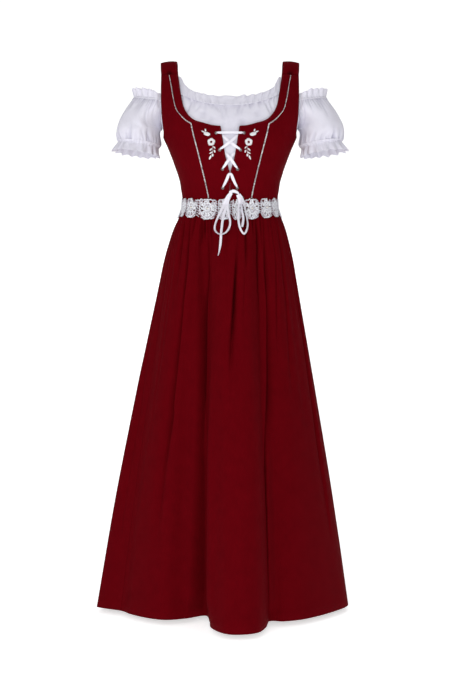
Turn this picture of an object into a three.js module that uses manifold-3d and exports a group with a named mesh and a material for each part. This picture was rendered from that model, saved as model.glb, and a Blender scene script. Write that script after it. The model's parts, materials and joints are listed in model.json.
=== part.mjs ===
// A full-length laced dirndl as it looks when worn: a red dress over a white off-shoulder blouse.
// Millimetres, +Z up, the front faces -Y. The origin is midway between the two shoulder straps, where they rest.
// Left and right are the wearer's, so left is +X.
import * as THREE from "three";
import { mergeVertices } from "three/addons/utils/BufferGeometryUtils.js";
import Module from "manifold-3d";

// Sizes of the cloth
const dressCloth = 1.5;
const blouseCloth = 1.0;
const ribbonCloth = 1.0;
const laceCloth = 1.4;
const seamGap = 0.3;
const underDress = 5; // how far the blouse lies inside the face of the bodice

// Heights
const waistZ = -352;
const hemZ = -1308;
const armpitZ = -185;
const strapSeamZ = -41;
const blouseHemZ = -300;
const blouseArmpitZ = -166;

const sides = [
  { name: "left", x: 1 },
  { name: "right", x: -1 },
];

// The close-fitting body of the dress: half width, depth in front and behind, and how square the section is.
const torso = [
  { z: -352, half: 114.5, front: 89, back: 87, square: 2.2 },
  { z: -329, half: 114, front: 90, back: 85, square: 2.2 },
  { z: -306, half: 117.5, front: 96, back: 86, square: 2.2 },
  { z: -284, half: 121.5, front: 103, back: 89, square: 2.25 },
  { z: -245, half: 134.5, front: 115, back: 96, square: 2.3 },
  { z: -210, half: 148, front: 121, back: 102, square: 2.35 },
  { z: -185, half: 159, front: 120, back: 104, square: 2.4 },
  { z: -150, half: 170, front: 113, back: 104, square: 2.6 },
  { z: -120, half: 175, front: 103, back: 102, square: 2.8 },
  { z: -90, half: 178, front: 91, back: 95, square: 3 },
  { z: -41, half: 179, front: 64, back: 74, square: 3.2 },
];

// Paths of the panels' edges in the front view, as [x, z].
const lacingEdge = [[0.2, -352], [0.2, -316], [0.3, -282], [9.7, -246], [16, -209], [21.5, -173]];
const neckline = [
  [21.5, -173], [40, -171], [62, -164.5], [84, -156.5], [100, -140],
  [110, -118], [116, -84], [119, -62], [123, strapSeamZ],
];
const princessSeam = [[47, -352], [54, -314], [64, -272], [75, -228], [84, -194], [90, -166]];
const strapSeam = [[90, -166], [103, -157], [115.5, -143.6], [125.5, -128], [132.5, -100], [138, -67], [143, strapSeamZ]];
// The side seam and the armhole, as [degrees from the front, z].
const sideSeam = [[90, -352], [90, -300], [90, -245], [90, armpitZ]];
const armhole = [
  [90, armpitZ], [82, -183], [74, -175], [69, -158], [66, -138], [63.3, -115], [61.2, -90], [60.1, -62],
  [59.4, strapSeamZ],
];
const lacingShare = 0.5; // the share of the front panel's rows that end on the lacing edge
const princessShare = 0.69;
const sideShare = 0.5;
const bodiceRows = 14;

// The top of the back of the bodice, and the gathered neck of the blouse, by angle from the front.
const backTop = [
  { deg: 90, z: -185 }, { deg: 97, z: -181 }, { deg: 108, z: -165 }, { deg: 119, z: -146 },
  { deg: 127, z: -133 }, { deg: 131, z: -131 }, { deg: 149, z: -131 }, { deg: 153, z: -133 },
  { deg: 166, z: -144 }, { deg: 180, z: -148 },
];
const backRowShares = [0, 0.09, 0.2, 0.36, 0.56, 0.78, 1];
const strapBackDeg = { outer: 129, inner: 151 };
const raglanDeg = 59;
const neckCasing = [
  { deg: 0, z: -119 }, { deg: 11, z: -113 }, { deg: 23, z: -101 }, { deg: 33, z: -90 }, { deg: 45, z: -95 },
  { deg: 59, z: -105 }, { deg: 121, z: -105 }, { deg: 147, z: -92 }, { deg: 180, z: -96 },
];
const neckFrillHeight = [
  { deg: 0, high: 20 }, { deg: 22, high: 20 }, { deg: 28, high: 27 }, { deg: 33, high: 45 },
  { deg: 40, high: 38 }, { deg: 50, high: 18 }, { deg: 59, high: 12 },
  { deg: 121, high: 12 }, { deg: 150, high: 21 }, { deg: 180, high: 22 },
];

// The shoulder strap behind its seam: the edge near the neck and the edge near the arm.
const strapOverShoulder = [
  { inX: 125, inY: -49, inZ: -23, outX: 164, outY: -38, outZ: -25 },
  { inX: 126, inY: -34, inZ: -8, outX: 165, outY: -26, outZ: -10 },
  { inX: 126, inY: -12, inZ: -1.5, outX: 165, outY: -10, outZ: -4 },
  { inX: 126, inY: 12, inZ: -2, outX: 164, outY: 10, outZ: -5 },
  { inX: 126, inY: 36, inZ: -13, outX: 163, outY: 30, outZ: -17 },
  { inX: 124, inY: 60, inZ: -38, outX: 161, outY: 49, outZ: -42 },
  { inX: 119, inY: 77, inZ: -68, outX: 158, outY: 61, outZ: -70 },
];
const strapCrown = 2.4;

// The skirt's hem in plan. deg is the place round the waist, from the front, that hangs to that point.
const hem = [
  { deg: -100, x: -319, y: 12 }, { deg: -91, x: -309, y: -14 }, { deg: -82, x: -258, y: -50 },
  { deg: -70, x: -232, y: -90 }, { deg: -58, x: -190, y: -134 }, { deg: -46, x: -146, y: -156 },
  { deg: -36, x: -98, y: -138 }, { deg: -29, x: -56, y: -108 }, { deg: -24, x: -47, y: -170 },
  { deg: -17, x: -42, y: -240 }, { deg: -8, x: -14, y: -299 }, { deg: 3, x: 22, y: -312 },
  { deg: 14, x: 62, y: -290 }, { deg: 22, x: 80, y: -236 }, { deg: 30, x: 90, y: -172 },
  { deg: 42, x: 122, y: -172 }, { deg: 55, x: 164, y: -152 }, { deg: 68, x: 208, y: -108 },
  { deg: 80, x: 250, y: -52 }, { deg: 92, x: 281, y: 4 }, { deg: 101, x: 284, y: 52 },
  { deg: 111, x: 246, y: 104 }, { deg: 119, x: 222, y: 166 }, { deg: 129, x: 176, y: 206 },
  { deg: 139, x: 138, y: 170 }, { deg: 148, x: 112, y: 226 }, { deg: 158, x: 68, y: 252 },
  { deg: 168, x: 30, y: 194 }, { deg: 178, x: -2, y: 234 }, { deg: 188, x: -50, y: 264 },
  { deg: 198, x: -92, y: 204 }, { deg: 208, x: -120, y: 240 }, { deg: 219, x: -168, y: 240 },
  { deg: 229, x: -198, y: 172 }, { deg: 238, x: -246, y: 172 }, { deg: 248, x: -290, y: 108 },
];
const seamLeftDeg = -82; // the side seam that shows, on the wearer's right
const seamRightDeg = 98;
// Creases that run out before the hem: the place round the waist at each end, the span of height as a share, in mm.
const creases = [
  { fromDeg: -54, toDeg: -50, top: 0.02, bottom: 0.75, deep: 20, wide: 5 },
  { fromDeg: 9, toDeg: -1, top: 0.02, bottom: 0.42, deep: 12, wide: 4 },
  { fromDeg: 38, toDeg: 40, top: 0.02, bottom: 0.3, deep: 8, wide: 4 },
  { fromDeg: 56, toDeg: 54, top: 0.02, bottom: 0.4, deep: 10, wide: 5 },
  { fromDeg: -70, toDeg: -66, top: 0.02, bottom: 0.3, deep: 8, wide: 4 },
  { fromDeg: 150, toDeg: 154, top: 0.02, bottom: 0.5, deep: 12, wide: 5 },
  { fromDeg: 204, toDeg: 208, top: 0.02, bottom: 0.6, deep: 14, wide: 5 },
];
// How far the skirt has spread towards its hem, by share of its height. It stands out soonest below the waist.
const spread = [
  { down: 0, out: 0 }, { down: 0.02, out: 0.045 }, { down: 0.05, out: 0.112 }, { down: 0.08, out: 0.16 },
  { down: 0.13, out: 0.226 }, { down: 0.18, out: 0.274 }, { down: 0.33, out: 0.418 }, { down: 0.48, out: 0.56 },
  { down: 0.73, out: 0.787 }, { down: 1, out: 1 },
];
const skirtGathers = 56;
const skirtSeamDeg = 0.08; // half the gap of a side seam
const gatherDepth = 2.6;
const gatherFade = 0.16;

// The waist lace
const lace = { topZ: -331, footZ: -366, scallop: 8, frontDip: 9, frontDrop: 7, standOff: 0.6, peak: 3 };
const scallops = 20;
const laceAcross = [0, 0.17, 0.47, 0.7, 1]; // a medallion's columns: the ladder, then its own three
const laceUp = [0, 0.24, 0.46, 0.54, 0.86, 1]; // and its rows, from the foot
const laceGaps = [[0, 1], [0, 3], [2, 3]]; // the ones cut through, as [column, row]

// Sleeve: outermost and innermost x, depth and heights, by share of the way from casing to cuff.
const sleeve = [
  { share: 0, outX: 231, inX: 122, deep: 46, outZ: -88 },
  { share: 0.12, outX: 241, inX: 128, deep: 52, outZ: -98 },
  { share: 0.3, outX: 255, inX: 140, deep: 58, outZ: -118 },
  { share: 0.5, outX: 268, inX: 154, deep: 61, outZ: -142 },
  { share: 0.62, outX: 273, inX: 163, deep: 62, outZ: -156 },
  { share: 0.8, outX: 276, inX: 165, deep: 62, outZ: -174 },
  { share: 0.93, outX: 274, inX: 163, deep: 56, outZ: -186 },
  { share: 1, outX: 269, inX: 170, deep: 49, outZ: -192 },
];
const armpitShare = 0.62;
const cuffDrop = 16; // the cuff is lower beside the body
const seamReach = 70; // degrees round the sleeve over which it turns towards the raglan seam
const frillWaves = { front: 21, back: 18, sleeve: 13, cuff: 16 };
const waveSteps = 4;
const neckWave = 4.2;
const cuffFrillLength = 21;
const cuffFlare = { inner: 4, outer: 12 };
const cuffWave = 4.5;

// Lacing
const eyelets = [{ x: 31.8, z: -190 }, { x: 24, z: -229 }, { x: 17.3, z: -272 }, { x: 16.8, z: -314 }];
const eyeletRing = 3.4;
const eyeletWire = 0.75;
const eyeletHole = 2.6;
const ribbonWidth = 6.8;
const ribbonInEyelet = 3;
// How a strip rises from its eyelet: distance from the hole's middle, height of its face off the cloth, and width
const eyeletRise = [
  { away: 0, out: -0.9, wide: 0.34 }, { away: 1.2, out: 3.2, wide: 0.34 }, { away: 3.2, out: 4.8, wide: 0.6 },
  { away: 5.4, out: 4.4, wide: 0.9 }, { away: 9, out: 2.2, wide: 1 },
];
// The crossed strips: from an eyelet on one side over the panel, across the opening and in behind the other panel.
const crossings = [
  { from: 1, to: 0, middle: [0.5, -211.5], edge: [16.5, -197.5], over: -1 },
  { from: 2, to: 1, middle: [0.5, -247.5], edge: [9.5, -238], over: 1 },
];
const crossingHeights = {
  over: [1.8, 2.2, 1.7, -0.2, -2.6, -2.6],
  under: [1.7, -0.1, -1.2, -2.1, -2.9, -2.8],
};
const lowestMeet = { x: 0.6, z: -281 }; // where the lowest pair comes out between the closed edges

// The bow, in the front view: x, z, and how far its face stands off the cloth
const knot = { left: [-0.5, -320.5], right: [20, -325.5], tall: 9.5, deep: 5, standOff: 3.6 };
const bowLoops = {
  right: [
    [5, -329, 7.8], [-3, -334, 8.2], [-10, -342, 8], [-18, -354, 7.6], [-27, -374, 7], [-34, -393, 6.2],
    [-36.5, -408, 6], [-31, -419.5, 6], [-19.5, -424, 6], [-9, -420, 6], [-1.5, -409, 6], [-0.5, -396, 6],
    [-4.5, -376, 6.4], [-7, -355, 7], [-5, -338, 7.2], [1.5, -330, 7.4],
  ],
  left: [
    [16.5, -332.5, 7.4], [19.5, -339, 7.8], [21, -348, 7.6], [20.5, -364, 7], [19.5, -384, 6.4], [21, -402, 6],
    [26, -417, 6], [32, -423, 6], [38, -414, 6], [41.5, -400, 6.2], [40.5, -386, 6.4], [36, -364, 7],
    [33, -346, 7.6], [30, -336.5, 7.8], [23.5, -332.5, 7],
  ],
};
const bowTails = {
  right: [
    [1.5, -330.5, 4.8], [-9, -343, 5], [-16, -362, 4.8], [-19.5, -383, 4], [-21.5, -404, 3.6], [-22.5, -428, 3.4],
    [-23, -448, 3.4], [-25.5, -466, 3.4], [-28, -475, 3.4],
  ],
  left: [
    [20, -333, 4.8], [24, -342, 5], [26.5, -354, 5], [30, -370, 4.4], [32, -385, 4], [29.5, -398, 3.8],
    [27, -407, 3.8],
  ],
};

const rad = THREE.MathUtils.degToRad;
const mix = THREE.MathUtils.lerp;
const smooth = (x) => THREE.MathUtils.smoothstep(x, 0, 1);
const clamp = THREE.MathUtils.clamp;

// A smooth curve through a table's rows. With a period it runs on past the last row to the first.
function tableAt(rows, key, column, at, period = 0) {
  const count = rows.length;
  const first = rows[0][key];
  const place = period
    ? first + ((((at - first) % period) + period) % period)
    : clamp(at, first, rows[count - 1][key]);
  let i = rows.findLastIndex((row) => row[key] <= place);
  if (!period) i = Math.min(i, count - 2);
  const knot = (j) => {
    const turn = period ? Math.floor(j / count) : 0;
    const row = rows[period ? j - turn * count : clamp(j, 0, count - 1)];
    return { at: row[key] + turn * period, value: row[column] };
  };
  const [a, b, c, d] = [knot(i - 1), knot(i), knot(i + 1), knot(i + 2)];
  const span = c.at - b.at;
  const slopeB = (c.value - a.value) / (c.at - a.at || 1);
  const slopeC = (d.value - b.value) / (d.at - b.at || 1);
  const t = (place - b.at) / span;
  const t2 = t * t;
  const t3 = t2 * t;
  return (2 * t3 - 3 * t2 + 1) * b.value + (t3 - 2 * t2 + t) * span * slopeB +
    (3 * t2 - 2 * t3) * c.value + (t3 - t2) * span * slopeC;
}

// A point on an evenly numbered path, s from 0 to 1.
function pathAt(points, s) {
  const rows = points.map((p, i) => ({ i: i / (points.length - 1), ...p }));
  return points[0].map((_, k) => tableAt(rows, "i", k, s));
}

// Two paths end to end, the first taking the given share.
const twoPaths = (first, second, share) => (v) =>
  v <= share ? pathAt(first, v / share) : pathAt(second, (v - share) / (1 - share));

// A point of the body's surface at an angle from the front, moved out along the section.
function torsoPoint(deg, z, out = 0) {
  const half = tableAt(torso, "z", "half", z) + out;
  const s = Math.sin(rad(deg));
  const c = Math.cos(rad(deg));
  const deep = tableAt(torso, "z", c > 0 ? "front" : "back", z) + out;
  const power = 2 / tableAt(torso, "z", "square", z);
  return [half * Math.sign(s) * Math.abs(s) ** power, -deep * Math.sign(c) * Math.abs(c) ** power, z];
}

// The angle from the front at which the body's surface has that x.
function degAtX(x, z) {
  const share = clamp(Math.abs(x) / tableAt(torso, "z", "half", z), 0, 1);
  return Math.sign(x) * THREE.MathUtils.radToDeg(Math.asin(share ** (tableAt(torso, "z", "square", z) / 2)));
}

// A closed wall of cloth. pointAt(u, v) gives its outer face, seen from outside with u to the right and v up.
// beyond says that pointAt also answers just past the sides, so two walls that meet lean alike at their seam.
function clothWall({
  columns, rows, pointAt, thick, closed = false, beyond = false, mirrored = false, keeps = () => true,
}) {
  const across = closed ? columns : columns + 1;
  const face = [];
  for (let j = 0; j <= rows; j++)
    for (let i = 0; i < across; i++) face.push(new THREE.Vector3(...pointAt(i / columns, j / rows)));
  const at = (i, j) => face[j * across + (closed ? (i + across) % across : clamp(i, 0, across - 1))];
  const row = (j) => clamp(j, 0, rows);
  const positions = [];
  const beside = (i, j) => {
    const past = beyond && (i < 0 || i > columns);
    return past ? new THREE.Vector3(...pointAt(i / columns, j / rows)) : at(i, j);
  };
  const inside = face.map((p, n) => {
    const i = n % across;
    const j = Math.floor(n / across);
    const right = beside(i + 1, j).clone().sub(beside(i - 1, j));
    const up = at(i, row(j + 1)).clone().sub(at(i, row(j - 1)));
    return right.cross(up).normalize().multiplyScalar(mirrored ? thick : -thick).add(p);
  });
  for (const p of [...face, ...inside]) positions.push(p.x, p.y, p.z);
  const kept = (i, j) => {
    if (j < 0 || j >= rows || (!closed && (i < 0 || i >= columns))) return false;
    return keeps((i + columns) % columns, j);
  };
  const index = [];
  const quad = (a, b, c, d) => index.push(a, b, c, a, c, d);
  const id = (i, j) => j * across + (closed ? i % across : i);
  const back = face.length;
  for (let j = 0; j < rows; j++)
    for (let i = 0; i < columns; i++) {
      if (!kept(i, j)) continue;
      const [a, b, c, d] = [id(i, j), id(i + 1, j), id(i + 1, j + 1), id(i, j + 1)];
      quad(a, b, c, d);
      quad(back + a, back + d, back + c, back + b);
      if (!kept(i, j - 1)) quad(b, a, back + a, back + b);
      if (!kept(i + 1, j)) quad(c, b, back + b, back + c);
      if (!kept(i, j + 1)) quad(d, c, back + c, back + d);
      if (!kept(i - 1, j)) quad(a, d, back + d, back + a);
    }
  if (mirrored) for (let n = 0; n < index.length; n += 3) [index[n + 1], index[n + 2]] = [index[n + 2], index[n + 1]];
  const geometry = new THREE.BufferGeometry();
  geometry.setAttribute("position", new THREE.Float32BufferAttribute(positions, 3));
  geometry.setIndex(index);
  return geometry;
}

const cloth = (color, roughness, metalness = 0) => new THREE.MeshStandardMaterial({ color, roughness, metalness });
const materials = {
  dress: cloth(0x5e040c, 0.75),
  blouse: cloth(0xdedce8, 0.85),
  lace: cloth(0xd6d8dc, 0.8),
  ribbon: cloth(0xebe8f4, 0.4),
  braid: cloth(0xb9b2b2, 0.5),
  eyelet: cloth(0x8c8580, 0.35, 0.9),
};
const dirndl = new THREE.Group();
const dress = new THREE.Group();
const blouse = new THREE.Group();
const lacing = new THREE.Group();
dirndl.add(dress, blouse, lacing);

function addPiece(group, name, geometry, material) {
  const mesh = new THREE.Mesh(geometry, material);
  mesh.name = name;
  group.add(mesh);
  return mesh;
}

// Bodice. A panel's rows run between two edge paths in the front view.
const onBody = (path) => (v) => {
  const [x, z] = path(v);
  return [degAtX(x, z), z];
};
const princessLine = twoPaths(princessSeam, strapSeam, princessShare);
const frontInner = onBody(twoPaths(lacingEdge, neckline, lacingShare));
const frontOuter = onBody(princessLine);
const sideOuter = twoPaths(sideSeam, armhole, sideShare);

function panelPoint(inner, outer, side, out = 0) {
  return (u, v) => {
    const [deg0, z0] = inner(v);
    const [deg1, z1] = outer(v);
    const slim = seamGap / 2 / Math.max(10, Math.abs(deg1 - deg0) * 2.2);
    const share = mix(slim, 1 - slim, u);
    return torsoPoint(side * mix(deg0, deg1, share), mix(z0, z1, share) + mix(seamGap, -seamGap, v) / 2, out);
  };
}

const wasm = await Module();
wasm.setup();
function solidOf(geometry) {
  const merged = mergeVertices(geometry);
  const vertProperties = merged.attributes.position.array;
  return new wasm.Manifold(new wasm.Mesh({ numProp: 3, vertProperties, triVerts: new Uint32Array(merged.index.array) }));
}
function geometryOf(solid) {
  const mesh = solid.getMesh();
  const geometry = new THREE.BufferGeometry();
  geometry.setAttribute("position", new THREE.BufferAttribute(mesh.vertProperties, 3));
  geometry.setIndex(new THREE.BufferAttribute(mesh.triVerts, 1));
  return geometry;
}

// Where an eyelet sits on the bodice's face, and the way out of the cloth there.
function eyeletPlace({ x, z }, side) {
  const deg = side * degAtX(x, z);
  const centre = new THREE.Vector3(...torsoPoint(deg, z));
  const right = new THREE.Vector3(...torsoPoint(deg + 1, z)).sub(new THREE.Vector3(...torsoPoint(deg - 1, z)));
  const up = new THREE.Vector3(...torsoPoint(deg, z + 2)).sub(new THREE.Vector3(...torsoPoint(deg, z - 2)));
  return { centre, out: right.cross(up).normalize() };
}
const facing = (out) => new THREE.Quaternion().setFromUnitVectors(new THREE.Vector3(0, 0, 1), out);

for (const side of sides) {
  let front = solidOf(clothWall({
    columns: 4, rows: bodiceRows, thick: dressCloth, mirrored: side.x < 0, beyond: true,
    pointAt: panelPoint(frontInner, frontOuter, side.x),
  }));
  eyelets.forEach((eyelet, n) => {
    const { centre, out } = eyeletPlace(eyelet, side.x);
    const hole = new THREE.CylinderGeometry(eyeletHole, eyeletHole, 8, 8).rotateX(Math.PI / 2);
    hole.deleteAttribute("normal");
    hole.deleteAttribute("uv");
    hole.applyQuaternion(facing(out)).translate(centre.x, centre.y, centre.z);
    front = front.subtract(solidOf(hole));
    const ring = addPiece(dress, `eyelet_${side.name}_${n + 1}`,
      new THREE.TorusGeometry(eyeletRing, eyeletWire, 4, 8), materials.eyelet);
    ring.quaternion.copy(facing(out));
    ring.position.copy(centre).addScaledVector(out, eyeletWire + seamGap + 0.2);
  });
  addPiece(dress, `bodice_front_${side.name}`, geometryOf(front), materials.dress);
  addPiece(dress, `bodice_side_${side.name}`, clothWall({
    columns: 7, rows: bodiceRows, thick: dressCloth, mirrored: side.x < 0, beyond: true,
    pointAt: panelPoint(frontOuter, sideOuter, side.x),
  }), materials.dress);
}

addPiece(dress, "bodice_back", clothWall({
  columns: 24, rows: backRowShares.length - 1, thick: dressCloth, beyond: true,
  pointAt: (u, v) => {
    const deg = mix(90.1, 269.9, u);
    const top = tableAt(backTop, "deg", "z", Math.min(deg, 360 - deg));
    return torsoPoint(deg, mix(waistZ, top, backRowShares[Math.round(v * (backRowShares.length - 1))]));
  },
}), materials.dress);

// The strap from its seam on the chest, over the shoulder, to the back of the bodice.
function strapPoint(side) {
  const start = strapSeamZ + seamGap;
  const onBack = (innerZ, outerZ) =>
    [...torsoPoint(strapBackDeg.inner, innerZ), ...torsoPoint(strapBackDeg.outer, outerZ)];
  const end = (deg) => tableAt(backTop, "deg", "z", deg) + seamGap * 4;
  const rows = [
    [...torsoPoint(degAtX(123, start), start), ...torsoPoint(degAtX(163, start), start)],
    ...strapOverShoulder.map((r) => [r.inX, r.inY, r.inZ, r.outX, r.outY, r.outZ]),
    onBack(-92, -92),
    onBack(-112, -112),
    onBack(end(strapBackDeg.inner), end(strapBackDeg.outer)),
  ];
  // Down the back the strap lies on the body's surface.
  const settle = (u, v, p) => {
    const [x, z] = [mix(p[0], p[3], u), mix(p[2], p[5], u)];
    const [bx, by] = torsoPoint(180 - degAtX(x, z), z);
    const settled = smooth((v - 0.74) / 0.1);
    return [side * mix(x, bx, settled), mix(mix(p[1], p[4], u), by, settled), z];
  };
  return (u, v) => {
    const p = pathAt(rows, v);
    if (v > 0.74) return settle(u, v, p);
    const crown = strapCrown * Math.sin(Math.PI * u) * Math.sin(Math.PI * clamp(v, 0, 1)) ** 2;
    return [side * mix(p[0], p[3], u), mix(p[1], p[4], u), mix(p[2], p[5], u) + crown];
  };
}
for (const side of sides)
  addPiece(dress, `strap_${side.name}`, clothWall({
    columns: 3, rows: 14, thick: dressCloth, mirrored: side.x < 0, beyond: true, pointAt: strapPoint(side.x),
  }), materials.dress);

// The braid along the princess seam and up the strap, laid on the panels' points.
const braidWidth = 2.6;
const braidHeight = 1.2;
for (const side of sides)
  addPiece(dress, `braid_${side.name}`, clothWall({
    columns: 1, rows: 26, thick: braidHeight, mirrored: side.x < 0,
    pointAt: (u, v) => {
      const [x, z] = princessLine(mix(0.06, 0.995, v));
      const [bx, bz] = princessLine(mix(0.05, 0.985, v));
      const [ax, az] = princessLine(mix(0.07, 1, v));
      const long = Math.hypot(ax - bx, az - bz) || 1;
      const wide = (u - 0.5) * braidWidth;
      const px = x + ((az - bz) / long) * wide;
      const pz = z - ((ax - bx) / long) * wide;
      return torsoPoint(side.x * degAtX(px, pz), pz, braidHeight + seamGap + 0.2);
    },
  }), materials.braid);

// Skirt. Every line of the cloth hangs from the waist to its own point of the hem.
function skirtBase(deg, t) {
  const [wx, wy] = torsoPoint(deg, waistZ);
  const grow = tableAt(spread, "down", "out", t);
  return [
    mix(wx, tableAt(hem, "deg", "x", deg, 360), grow),
    mix(wy, tableAt(hem, "deg", "y", deg, 360), grow),
    mix(waistZ - seamGap, hemZ, t),
  ];
}
const turnBetween = (a, b) => ((((a - b) % 360) + 540) % 360) - 180;
function creaseDepth(deg, t) {
  return creases.reduce((sum, c) => {
    if (t <= c.top || t >= c.bottom) return sum;
    const share = (t - c.top) / (c.bottom - c.top);
    const off = turnBetween(deg, mix(c.fromDeg, c.toDeg, share)) / c.wide;
    return sum + c.deep * Math.sin(Math.PI * Math.sqrt(share)) * Math.exp(-off * off);
  }, 0);
}
// A point of the skirt's face, with its gathers and creases set in along the way to the middle.
function skirtPoint(deg, t, gather = 0) {
  const [x, y, z] = skirtBase(deg, t);
  const fade = Math.exp(-t / gatherFade) * (0.35 + 0.65 * smooth(t / 0.05));
  const lip = smooth(t / 0.012);
  const inwards = creaseDepth(deg, t) + gatherDepth * 2 * gather * fade * lip * mix(1, 1.5, t);
  const long = Math.hypot(x, y);
  return [x * (1 - inwards / long), y * (1 - inwards / long), z];
}
const skirtColumns = skirtGathers * 2;
const skirtRowShares = [0, 0.018, 0.055, 0.125, 0.25, 0.47, 0.74, 1];
function skirtPanel(name, fromDeg, toDeg) {
  const columns = Math.round((skirtColumns * (toDeg - fromDeg)) / 360);
  const rows = skirtRowShares.length - 1;
  addPiece(dress, name, clothWall({
    columns, rows, thick: dressCloth, beyond: true,
    pointAt: (u, v) => {
      const t = skirtRowShares[Math.round((1 - v) * rows)];
      return skirtPoint(mix(fromDeg + skirtSeamDeg, toDeg - skirtSeamDeg, u), t, Math.abs(Math.round(u * columns) % 2));
    },
  }), materials.dress);
}
skirtPanel("skirt_front", seamLeftDeg, seamRightDeg);
skirtPanel("skirt_back", seamRightDeg, seamLeftDeg + 360);

// The lace round the waist: a band with a scalloped foot, cut through between and inside its medallions.
const isFront = (deg) => Math.max(0, Math.cos(rad(deg))) ** 2;
function lacePoint(deg, z, out) {
  if (z >= waistZ) return torsoPoint(deg, z, out);
  const [x, y] = skirtBase(deg, (waistZ - z) / (waistZ - hemZ));
  const long = Math.hypot(x, y);
  return [x * (1 + out / long), y * (1 + out / long), z];
}
function lacePanel(name, fromDeg, toDeg) {
  const medallions = Math.round((scallops * (toDeg - fromDeg)) / 360);
  const across = laceAcross.length - 1;
  const up = laceUp.length - 1;
  const columns = medallions * across;
  addPiece(dress, name, clothWall({
    columns, rows: up, thick: laceCloth, beyond: true,
    keeps: (i, j) => i === 0 || !laceGaps.some(([column, row]) => i % across === column && j === row),
    pointAt: (u, v) => {
      const column = Math.round(u * columns);
      const medallion = Math.floor(column / across);
      const share = laceAcross[column - medallion * across];
      const deg = mix(fromDeg + 0.1, toDeg - 0.1, (medallion + share) / medallions);
      const round = Math.sin(Math.PI * clamp((share - 0.085) / 0.915, 0, 1)) ** 0.6;
      const foot = lace.footZ - lace.scallop * round - (lace.frontDip + lace.frontDrop) * isFront(deg);
      const top = lace.topZ - lace.frontDip * isFront(deg) - lace.peak * (1 - round);
      return lacePoint(deg, mix(foot, top, laceUp[Math.round(v * up)]), lace.standOff + laceCloth);
    },
  }), materials.lace);
}
lacePanel("waist_lace_front", -90, 90);
lacePanel("waist_lace_back", 90, 270);

// Blouse body, inside the bodice. Its side edges turn from the side seams into the raglan seams.
const raglanShare = (z) => smooth((z - blouseArmpitZ) / (tableAt(neckCasing, "deg", "z", raglanDeg) - blouseArmpitZ));
const edgeDeg = (z) => mix(90, raglanDeg, raglanShare(z));
function blousePoint(back) {
  const middle = back ? 180 : 0;
  return (u, v, gather = 0) => {
    const turn = u * 2 - 1;
    const topZ = tableAt(neckCasing, "deg", "z", Math.abs(middle - Math.abs(turn) * (back ? 59 : raglanDeg)));
    const z = mix(blouseHemZ, topZ, v);
    const deg = middle + turn * (edgeDeg(z) - 0.12);
    const soft = gather * 1.6 * smooth((v - 0.55) / 0.4);
    return torsoPoint(deg, z, -underDress - soft);
  };
}
function blousePanel(name, back, columns, rows) {
  const point = blousePoint(back);
  addPiece(blouse, name, clothWall({
    columns, rows, thick: blouseCloth, beyond: true,
    pointAt: (u, v) => point(u, v, Math.round(u * columns) % 2),
  }), materials.blouse);
}
blousePanel("blouse_front", false, 28, 6);
blousePanel("blouse_back", true, 26, 5);

// Sleeve. Round it, 0 degrees points to the body; above the armpit it is open there and meets the body's panels.
function sleevePoint(side) {
  return (u, w, gather = 0, out = 0) => {
    const row = (column) => tableAt(sleeve, "share", column, w);
    const open = clamp(1 - w / armpitShare, 0, 1);
    const seamAngle = 0.25 + 62 * Math.sqrt(open) * (1 - 0.25 * open);
    const angle = mix(seamAngle, 360 - seamAngle, u);
    const centre = (row("outX") + row("inX")) / 2;
    const half = (row("outX") - row("inX")) / 2 + out - gather;
    const place = (a) => [centre + half * Math.cos(Math.PI - rad(a)) * -1, -(row("deep") + out - gather) * Math.sin(rad(a))];
    const flip = ([x, y]) => [2 * centre - x, y];
    const seamZ = mix(tableAt(neckCasing, "deg", "z", raglanDeg), blouseArmpitZ, Math.min(w / armpitShare, 1));
    const back = u > 0.5;
    const seamDeg = edgeDeg(seamZ) + 0.4;
    const seam = torsoPoint(back ? 180 - seamDeg : seamDeg, seamZ, -underDress + out);
    const away = back ? 360 - angle : angle;
    const pull = open > 0 ? 1 - smooth((away - seamAngle) / seamReach) : 0;
    const [x, y] = flip(place(angle));
    const [sx, sy] = flip(place(back ? 360 - seamAngle : seamAngle));
    const tuck = (px, py) => {
      const under = torsoPoint(degAtX(Math.min(px, 160), seamZ), seamZ, -underDress)[1] + 3;
      return back ? py : Math.max(py, under - Math.max(0, px - 165) * 0.9 - out);
    };
    const turned = (1 - Math.cos(rad(angle))) / 2;
    const innerZ = w < armpitShare ? seamZ : mix(blouseArmpitZ, row("outZ") - cuffDrop, smooth((w - armpitShare) / (1 - armpitShare)));
    const px = x + (seam[0] - sx) * pull;
    const py = y + (seam[1] - sy) * pull;
    return [side * px, w < armpitShare ? tuck(px, py) : py, mix(innerZ, row("outZ"), turned)];
  };
}

// A frill on a gathered line: base(u) is its foot, up(u) its height and lean, wave how far it swings out and in.
function frill({ name, group, waves, base, up, outwards, wave, mirrored }) {
  const columns = waves * waveSteps;
  addPiece(group, name, clothWall({
    columns, rows: 1, thick: blouseCloth, mirrored,
    pointAt: (u, v) => {
      const phase = Math.sin((Math.PI * 2 * Math.round(u * columns)) / waveSteps);
      const foot = new THREE.Vector3(...base(u));
      const swing = wave(u) * phase * mix(0.3, 1, v);
      return foot.addScaledVector(up(u), v).addScaledVector(outwards(u), swing).toArray();
    },
  }), materials.blouse);
}

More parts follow.
